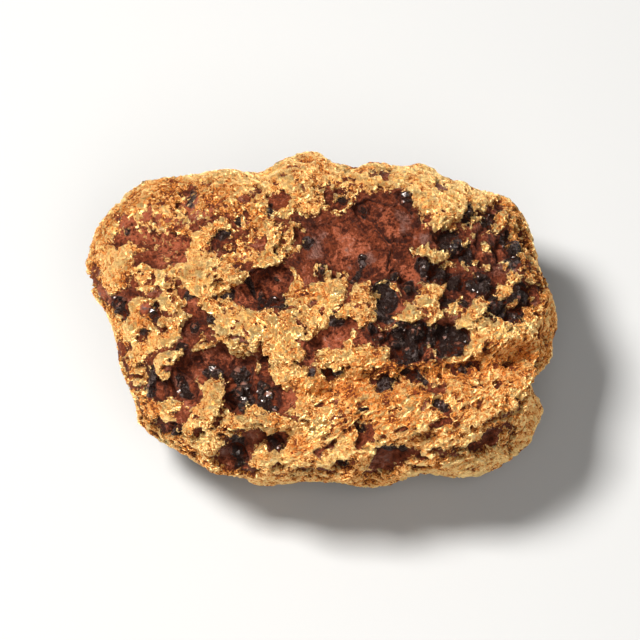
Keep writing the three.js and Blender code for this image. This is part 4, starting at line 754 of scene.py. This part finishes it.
class Survey:
    """What lies where on the nugget: the skin's points, which way they face, and what covers them."""

    def __init__(self, skin):
        self.points, self.normals = points_of(skin)
        self.on_face = face_share(self.points, self.normals)
        wander = np.stack([self.lumps(WANDER_RIGHT), self.lumps(WANDER_UP)], axis=1)
        self.places = seen_on_face(self.points) + wander
        cover = broad_cover(self.points, self.places, self.on_face)
        self.cover = cover + self.lumps(*RAGGED_EDGE)
        self.ridged = self.on_face * patches(self.places, RIDGED_AREAS, softness=0.8)
        oxide = self.spread(OXIDE_PATCHES, softness=0.45, size=2.2, shift=41.0)
        self.oxide = smooth_step(*OXIDE_FADES, oxide + self.lumps(OXIDE_BORDER))
        red = self.spread(RED_PATCHES, softness=0.5, size=2.6, shift=53.0)
        # The grey patches take red away where the painted grey sheen goes.
        self.red = red - self.spread(GREY_PATCHES, softness=0.5, size=2.6, shift=57.0)
        self.stain = self.spread(STAINS, softness=0.6, size=2.4, shift=59.0)
        self.knobs, self.grooves = knob_height(self.places, self.lumps(KNOB_UNEVENNESS))

    def lumps(self, *layers):
        """Layers of soft noise at the skin's points."""
        return layered(lumps, self.points, *layers)

    def grains(self, *layers):
        """Layers of rounded grains at the skin's points."""
        return layered(grains, self.points, *layers)

    def spread(self, forms, softness, size, shift):
        """The listed patches on the face, and patches of chance of the given size elsewhere."""
        by_chance = smooth_step(*CHANCE_FADES, lumps(self.points, size, shift))
        by_hand = patches(self.places, forms, softness)
        return self.on_face * by_hand + (1.0 - self.on_face) * by_chance

    def gold_relief(self):
        """The gold's plates and crumbs, which are drawn out to fine ridges in its lower part."""
        crumbs = self.grains(GOLD_CRUMBS)
        squeezed = ((1.0 - 1.0 / RIDGE_STRETCH) * (self.points @ RIDGE_RUN))[:, None] * RIDGE_RUN
        ridges = layered(grains, self.points - squeezed, GOLD_RIDGES)
        plates = broken(self.points, *GOLD_PLATES)
        return plates + crumbs + self.ridged * (ridges - crumbs) + self.lumps(*GOLD_ROUGHNESS)

    def gold_height(self, relief):
        """The gold stands over the ironstone, and dips under it where it is missing."""
        rise = smooth_step(-EDGE_ROUNDING, EDGE_ROUNDING, self.cover)
        return rise * (GOLD_STANDS + GOLD_HIDDEN) - GOLD_HIDDEN + relief * rise

    def rock_relief(self):
        """The ironstone is broken in blocks and cracked, and its oxide is lumpy."""
        jointed = smooth_step(0.0, JOINT_FADE, self.lumps(JOINTED_GROUND))
        blocks = broken(self.points, *ROCK_BLOCKS, jointed) + self.grains(ROCK_GRAINS)
        lumpy = self.grains(*OXIDE_GRAINS)
        cut = self.on_face * (self.grooves + crack_depth(self.places))
        return blocks + self.oxide * (lumpy - blocks) + self.lumps(*ROCK_ROUGHNESS) - cut

    def rock_height(self, relief):
        """The ironstone sinks in its windows and out of sight under the gold."""
        inside = smooth_step(0.0, WINDOW_SLOPE, -self.cover)
        under = smooth_step(0.0, TUCK_WIDTH, self.cover)
        knobs = self.on_face * self.knobs * (1.0 - under)
        return knobs - ROCK_SINKS - ROCK_DEEPER * inside - ROCK_HIDDEN * under + relief


def store(mesh, name, values):
    """Keeps a number for each point of the mesh, for the materials to read."""
    attribute = mesh.attributes.new(name, "FLOAT", "POINT")
    attribute.data.foreach_set("value", values.astype(np.float32))


def unfold(mesh, points, normals):
    """Gives the mesh its map for baking: each face lies in the chart that it faces most."""
    corners = np.empty(len(mesh.loops), int)
    mesh.loops.foreach_get("vertex_index", corners)
    corners = corners.reshape(-1, 3)
    facing = normals[corners].sum(axis=1)
    chart_of = np.argmax(np.stack([facing @ out for out, right, corner, scale in BAKE_CHARTS]), axis=0)
    spots = np.empty((len(corners), 3, 2))
    for index, (out, right, corner, scale) in enumerate(BAKE_CHARTS):
        chosen = chart_of == index
        flat = points[corners[chosen]] @ np.stack([right, np.cross(out, right)], axis=1)
        spots[chosen] = corner + (flat - flat.min(axis=(0, 1))) * scale
    layer = mesh.uv_layers.new(name="OFBake")
    layer.data.foreach_set("uv", spots.ravel())


def place(name, mesh):
    """Makes a mesh a piece that stands for the nugget's solid."""
    piece = bpy.data.objects.new(name, mesh)
    bpy.context.scene.collection.objects.link(piece)
    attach(piece, "root")
    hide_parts("nugget")


def shell(name, skin, survey, height, relief, material):
    """The skin raised by a height at each point, kept off the table, as a piece of the nugget."""
    mesh = bpy.data.meshes.new(name)
    skin.to_mesh(mesh)
    raised = survey.points + survey.normals * height[:, None]
    raised[:, 2] = np.maximum(raised[:, 2], 0.0)
    mesh.vertices.foreach_set("co", (raised * MM).ravel())
    mesh.polygons.foreach_set("use_smooth", np.ones(len(mesh.polygons), bool))
    store(mesh, "relief", relief)
    for kept in ("cover", "oxide", "red", "stain", "ridged"):
        store(mesh, kept, getattr(survey, kept))
    unfold(mesh, survey.points, survey.normals)
    mesh.materials.append(material)
    mesh.update()
    place(name, mesh)


def crystal_seats(survey, chance):
    """The size and the point of each crystal: small ones strewn in the black patches, then the large."""
    bare = (survey.oxide > CRYSTAL_OXIDE) & (survey.cover < CRYSTAL_COVER)
    likely = np.flatnonzero(bare & (survey.points[:, 2] > CRYSTAL_FLOOR))
    chosen = chance.choice(likely, CRYSTAL_COUNT, replace=False)
    seats = [(SMALLEST_CRYSTAL + CRYSTAL_GROWTH * chance.random() ** 2, index) for index in chosen]
    for radius, spot in LARGE_CRYSTALS:
        away = np.linalg.norm(survey.places - np.array(spot), axis=1)
        away += OUT_OF_REACH * (survey.on_face < MOSTLY)
        seats.append((radius, np.argmin(away)))
    return seats


def crystals(survey, rock_height, material):
    """Faceted grains of iron oxide."""
    chance = np.random.default_rng(CRYSTAL_SEED)
    grown = bmesh.new()
    for radius, index in crystal_seats(survey, chance):
        normal = survey.normals[index]
        centre = survey.points[index] + normal * (rock_height[index] - CRYSTAL_SUNK * radius)
        turn = Vector(chance.normal(size=3)).to_track_quat("Z", "Y").to_matrix().to_4x4()
        squeeze = Matrix.Diagonal((1.0, chance.uniform(*MIDDLE_AXIS), chance.uniform(*SHORT_AXIS), 1.0))
        seat = Matrix.Translation(Vector(centre * MM)) @ turn @ squeeze
        bmesh.ops.create_icosphere(grown, subdivisions=1, radius=radius * MM, matrix=seat)
    mesh = bpy.data.meshes.new("oxide_crystals")
    grown.to_mesh(mesh)
    grown.free()
    mesh.materials.append(material)
    place("oxide_crystals", mesh)


class Number:
    """A number that changes over a surface."""

    def __init__(self, finish, socket):
        self.finish = finish
        self.socket = socket

    def __add__(self, other):
        return self.finish.sum_up("ADD", self, other)

    def __radd__(self, other):
        return self.finish.sum_up("ADD", other, self)

    def __sub__(self, other):
        return self.finish.sum_up("SUBTRACT", self, other)

    def __rsub__(self, other):
        return self.finish.sum_up("SUBTRACT", other, self)

    def __mul__(self, other):
        return self.finish.sum_up("MULTIPLY", self, other)

    def __rmul__(self, other):
        return self.finish.sum_up("MULTIPLY", other, self)

    def __abs__(self):
        return self.finish.sum_up("ABSOLUTE", self, 0.0)


class Finish:
    """A material and the nodes that make it."""

    def __init__(self, name):
        self.material = bpy.data.materials.new(name)
        self.material.use_nodes = True
        self.tree = self.material.node_tree
        self.tree.nodes.clear()
        self.shader = self.node("ShaderNodeBsdfPrincipled", {}, {})
        self.node("ShaderNodeOutputMaterial", {}, {"Surface": self.shader.outputs["BSDF"]})
        where = self.node("ShaderNodeTexCoord", {}, {})
        sockets = {"Vector": where.outputs["Object"], "Scale": (1.0 / MM, 1.0 / MM, 1.0 / MM)}
        self.place = self.node("ShaderNodeMapping", {}, sockets).outputs["Vector"]

    def node(self, kind, settings, sockets):
        """Adds a node with its settings and with what goes into its sockets."""
        made = self.tree.nodes.new(kind)
        for setting, value in settings.items():
            setattr(made, setting, value)
        for socket, value in sockets.items():
            self.feed(made.inputs[socket], value)
        return made

    def feed(self, socket, value):
        """Links what another node gives to a socket, or sets the socket to a plain value."""
        if isinstance(value, Number):
            value = value.socket
        if isinstance(value, bpy.types.NodeSocket):
            self.tree.links.new(value, socket)
        else:
            socket.default_value = value

    def sum_up(self, operation, first, second):
        """What a calculation makes of two numbers, each plain or changing over the surface."""
        made = self.node("ShaderNodeMath", {"operation": operation}, {0: first, 1: second})
        return Number(self, made.outputs[0])

    def stored(self, name):
        """A number that the mesh keeps for each of its points."""
        made = self.node("ShaderNodeAttribute", {"attribute_name": name}, {})
        return Number(self, made.outputs["Fac"])

    def blotches(self, size, detail=2.0, roughness=0.5, where=None):
        """Noise from -0.5 to 0.5 with blotches of the given size in mm."""
        sockets = {
            "Vector": where or self.place,
            "Scale": 1.0 / size,
            "Detail": detail,
            "Roughness": roughness,
        }
        return Number(self, self.node("ShaderNodeTexNoise", {}, sockets).outputs["Fac"]) - 0.5

    def drawn_out(self, run, out, stretch):
        """Places for a pattern that is drawn out along one direction of the surface."""
        across = np.cross(out, run)
        turn = Matrix((run, across, out)).transposed().to_euler()
        sockets = {"Vector": self.place, "Rotation": turn, "Scale": (stretch, 1.0, 1.0)}
        return self.node("ShaderNodeMapping", {"vector_type": "TEXTURE"}, sockets).outputs["Vector"]

    def crumbs(self, size, where=None):
        """Rounded crumbs from 0 in the sharp creases between them to about 1 on top."""
        return abs(self.blotches(size, roughness=0.6, where=where)) * 4.0

    def step(self, value, none, full):
        """0 at none and beyond, 1 at full and beyond, and smooth between them."""
        sockets = {"Value": value, "From Min": none, "From Max": full}
        made = self.node("ShaderNodeMapRange", {"interpolation_type": "SMOOTHSTEP"}, sockets)
        return Number(self, made.outputs["Result"])

    def blend(self, share, first, second):
        """A colour that goes from the first to the second."""
        made = self.node("ShaderNodeMix", {"data_type": "RGBA"}, {0: share, 6: first, 7: second})
        return made.outputs[2]

    def bump(self, height, depth):
        """Relief that only the light shows, as deep in mm as a height of 1."""
        sockets = {"Height": height, "Distance": depth * MM}
        return self.node("ShaderNodeBump", {}, sockets).outputs["Normal"]

    def set(self, **values):
        """Fills the shader's sockets, each named with underscores for its spaces."""
        for socket, value in values.items():
            self.feed(self.shader.inputs[socket.replace("_", " ")], value)


class LumpFinish(Finish):
    """Crumbly native gold over earthy ironstone with black iron oxide in it.

    Both shells wear this finish, because the ragged edge of the gold is finer than their faces.
    """

    def __init__(self, name):
        super().__init__(name)
        self.cover = self.stored("cover")
        self.relief = self.stored("relief")
        self.grain = self.blotches(size=0.30, detail=4.0, roughness=0.7)
        self.blotch = self.blotches(size=1.1, detail=3.0, roughness=0.6)
        self.broad = self.blotches(size=2.2)
        self.crumb = self.gold_crumbs()
        is_gold = self.step(self.cover + self.grain * 0.8 + self.crumb * 0.25, none=0.055, full=0.105)
        gold, metal, gold_roughness = self.gold()
        rock, rock_roughness = self.ironstone()
        crumb_bump = self.crumb * (is_gold * 0.34 + 0.16)
        grain_bump = self.grain * (0.75 - is_gold * 0.35)
        self.set(
            Base_Color=self.blend(is_gold, rock, gold),
            Metallic=is_gold * metal,
            Roughness=rock_roughness + is_gold * (gold_roughness - rock_roughness),
            Specular_IOR_Level=0.30,
            Specular_Tint=(1.0, 0.76, 0.64, 1.0),
            Normal=self.bump(crumb_bump + grain_bump + is_gold * 0.025, depth=1.5),
        )

    def gold_crumbs(self):
        """Fine crumbs, drawn out in the ridged gold."""
        drawn = self.drawn_out(RIDGE_RUN, FACE_OUT, RIDGE_STRETCH)
        fine = self.crumbs(size=0.30)
        even = self.crumbs(size=0.62) * 0.55 + fine * 0.45
        in_ridges = self.crumbs(size=0.55, where=drawn) * 0.6 + fine * 0.4
        return even + self.stored("ridged") * (in_ridges - even)

    def gold(self):
        """Gold's colour, how metallic it is, and its roughness.

        Its palest tone on the tops of its crumbs is a painted highlight; the orange and red-brown in its
        creases and at its edges are partly iron stain and partly painted shade.
        """
        # The palest colour is a painted highlight, put on the highest crumbs.
        painted_highlight = (1.0, 0.86, 0.52, 1.0)
        pale = (1.0, 0.72, 0.31, 1.0)
        orange_stain_and_shade = (0.78, 0.30, 0.060, 1.0)
        brown = (0.17, 0.030, 0.007, 1.0)
        stain = self.stored("stain")
        # Near the gold's edge it is darkened, partly as iron stain and partly as painted shade.
        edge = self.step(self.cover, none=0.25, full=-0.05)
        height = self.crumb * 1.5 + self.relief * 1.2 + self.grain * 0.5 + self.blotch * 1.1
        # Low crumbs, the edge and the stain turn the gold orange, then brown: painted shade in creases and
        # at edges, and real iron stain.
        low = self.step(height - edge * 0.15 - stain * 0.60, none=0.40, full=0.0)
        stain_and_shade = self.step(height - edge * 0.20 - stain * 0.35, none=0.10, full=-0.12)
        # The highest crumbs take the painted highlight.
        colour = self.blend(self.step(height - stain * 0.5, none=0.75, full=1.25), pale, painted_highlight)
        colour = self.blend(stain_and_shade, self.blend(low, colour, orange_stain_and_shade), brown)
        return colour, 1.0 - stain_and_shade * 0.9, low * 0.10 + stain_and_shade * 0.2 + 0.38

    def ironstone(self):
        """Ironstone's colour and roughness.

        It is darkened in its cracks and low places by painted shade, pink and dusty where it stands out,
        partly its own tone and partly painted highlight, with a painted grey sheen in places.
        """
        # Painted shade for the cracks and the grooves round the knobs.
        crack_shade = (0.012, 0.003, 0.002, 1.0)
        dark_earth_and_shade = (0.045, 0.007, 0.003, 1.0)
        earth_brown = (0.19, 0.037, 0.012, 1.0)
        rosy_and_highlight = (0.42, 0.105, 0.045, 1.0)
        dust_and_highlight = (0.68, 0.30, 0.20, 1.0)
        # The grey sheen colour is a painted reflection.
        painted_sheen = (0.33, 0.165, 0.125, 1.0)
        # Red patches count up here, and the grey patches of the painted sheen count down.
        red = self.stored("red")
        # The level follows the relief and chance: low places are darkened as painted shade, high ones
        # lightened to pink and dust, partly as painted highlight.
        level = self.relief * 1.6 + self.grain * 3.6 + self.broad * 0.8 - 0.05
        colour = self.blend(self.step(level + self.blotch * 0.8, none=-0.60, full=0.10), dark_earth_and_shade, earth_brown)
        is_rosy_or_highlit = self.step(level + red * 0.45 + self.blotch * 1.6, none=0.05, full=0.75)
        colour = self.blend(is_rosy_or_highlit, colour, rosy_and_highlight)
        colour = self.blend(self.step(level + red * 0.20, none=0.50, full=1.20), colour, dust_and_highlight)
        # A grey sheen is painted in patches: grey on high places, dark on low ones, a painted reflection
        # and painted shade.
        mottle = self.broad * 1.6 + self.blotch * 1.6 + self.grain * 1.2
        is_painted_sheen = self.step(mottle - red * 0.6 + self.relief * 0.4, none=0.15, full=1.0)
        painted_sheen_and_shade = self.blend(self.step(level, none=-0.9, full=0.5), dark_earth_and_shade, painted_sheen)
        colour = self.blend(is_painted_sheen * 0.9, colour, painted_sheen_and_shade)
        # The cracks and the grooves round the knobs are darkened with painted shade.
        colour = self.blend(self.step(self.relief, none=-0.26, full=-0.48), colour, crack_shade)
        ore = self.stored("oxide") + self.blotch * 1.3 + self.grain * 0.6 + self.relief
        is_ore = self.step(ore, none=0.22, full=0.58)
        roughness = 0.54 - is_ore * 0.24 - is_painted_sheen * 0.20 + self.grain * 0.6
        return self.blend(is_ore, colour, self.oxide()), roughness

    def oxide(self):
        """The colour of the black oxide in the ironstone, rusty in its creases, with a painted grey
        highlight on top.
        """
        rust = (0.12, 0.020, 0.006, 1.0)
        black = (0.020, 0.010, 0.008, 1.0)
        painted_grey_highlight = (0.15, 0.11, 0.10, 1.0)
        level = self.relief * 1.6 + self.grain * 2.0
        colour = self.blend(self.step(level + self.blotch * 1.6, none=-0.70, full=-0.15), rust, black)
        # High places of the oxide get a painted grey highlight.
        return self.blend(self.step(level, none=0.10, full=0.60), colour, painted_grey_highlight)


def crystal_finish():
    """Black iron oxide, glassy on its faces with a brown film in places."""
    finish = Finish("iron oxide")
    film = finish.step(finish.blotches(size=0.5), none=-0.02, full=0.16)
    black = (0.013, 0.009, 0.008, 1.0)
    brown = (0.10, 0.030, 0.015, 1.0)
    finish.set(
        Base_Color=finish.blend(film, black, brown),
        Roughness=film * 0.4 + 0.16,
        Specular_Tint=(1.0, 0.86, 0.78, 1.0),
        Normal=finish.bump(finish.blotches(size=0.16), depth=0.03),
    )
    return finish.material


def floor():
    """A plain pale floor under the nugget."""
    finish = Finish("pale floor")
    finish.set(Base_Color=(0.36, 0.355, 0.345, 1.0), Roughness=0.9)
    ground = bmesh.new()
    bmesh.ops.create_grid(ground, x_segments=1, y_segments=1, size=FLOOR_REACH * MM)
    mesh = bpy.data.meshes.new("floor")
    ground.to_mesh(mesh)
    ground.free()
    mesh.materials.append(finish.material)
    piece = bpy.data.objects.new("floor", mesh)
    bpy.context.scene.collection.objects.link(piece)


def aim(thing, spot, target):
    """Puts a light or a camera at a spot, in mm, and turns it to the target."""
    thing.location = Vector(spot) * MM
    direction = Vector(target) - Vector(spot)
    thing.rotation_mode = "QUATERNION"
    thing.rotation_quaternion = direction.to_track_quat("-Z", "Y")


def lamp(name, right, up, out, size, power):
    """A soft square light at a place given from the face's heart, in mm."""
    data = bpy.data.lights.new(name, "AREA")
    data.size = size * MM
    data.energy = power
    thing = bpy.data.objects.new(name, data)
    bpy.context.scene.collection.objects.link(thing)
    aim(thing, HEART + FACE_RIGHT * right + FACE_UP * up + FACE_OUT * out, HEART)


def studio():
    """Soft light from the upper left and a fill from the eye's side."""
    bpy.context.scene.view_settings.view_transform = "Standard"
    lamp("key light", right=-210.0, up=215.0, out=320.0, size=120.0, power=4.8)
    lamp("fill light", right=60.0, up=-60.0, out=420.0, size=260.0, power=1.2)
    world = bpy.data.worlds.new("studio")
    world.use_nodes = True
    background = world.node_tree.nodes["Background"]
    background.inputs["Color"].default_value = (1.0, 1.0, 1.0, 1.0)
    background.inputs["Strength"].default_value = WORLD_LIGHT
    bpy.context.scene.world = world


def camera():
    """The photographer's eye, square to the face."""
    data = bpy.data.cameras.new("camera")
    data.sensor_width = 36.0
    data.lens = data.sensor_width * VIEW_DISTANCE / SEEN_WIDTH
    data.clip_start = 0.01
    data.clip_end = 10.0
    thing = bpy.data.objects.new("camera", data)
    bpy.context.scene.collection.objects.link(thing)
    aim(thing, HEART + FACE_OUT * VIEW_DISTANCE, HEART)
    bpy.context.scene.camera = thing


def nugget():
    """The gold, the ironstone and the crystals, which are one lump."""
    gold_skin = smooth_skin()
    rock_skin = gold_skin.copy()

    refine(gold_skin, 1.0)
    survey = Survey(gold_skin)
    relief = survey.gold_relief()
    height = survey.gold_height(relief)
    shell("gold", gold_skin, survey, height, relief, LumpFinish("native gold").material)
    gold_skin.free()

    refine(rock_skin, -1.0)
    survey = Survey(rock_skin)
    relief = survey.rock_relief()
    height = survey.rock_height(relief)
    shell("ironstone", rock_skin, survey, height, relief, LumpFinish("ironstone").material)
    crystals(survey, height, crystal_finish())
    rock_skin.free()


nugget()
floor()
studio()
camera()
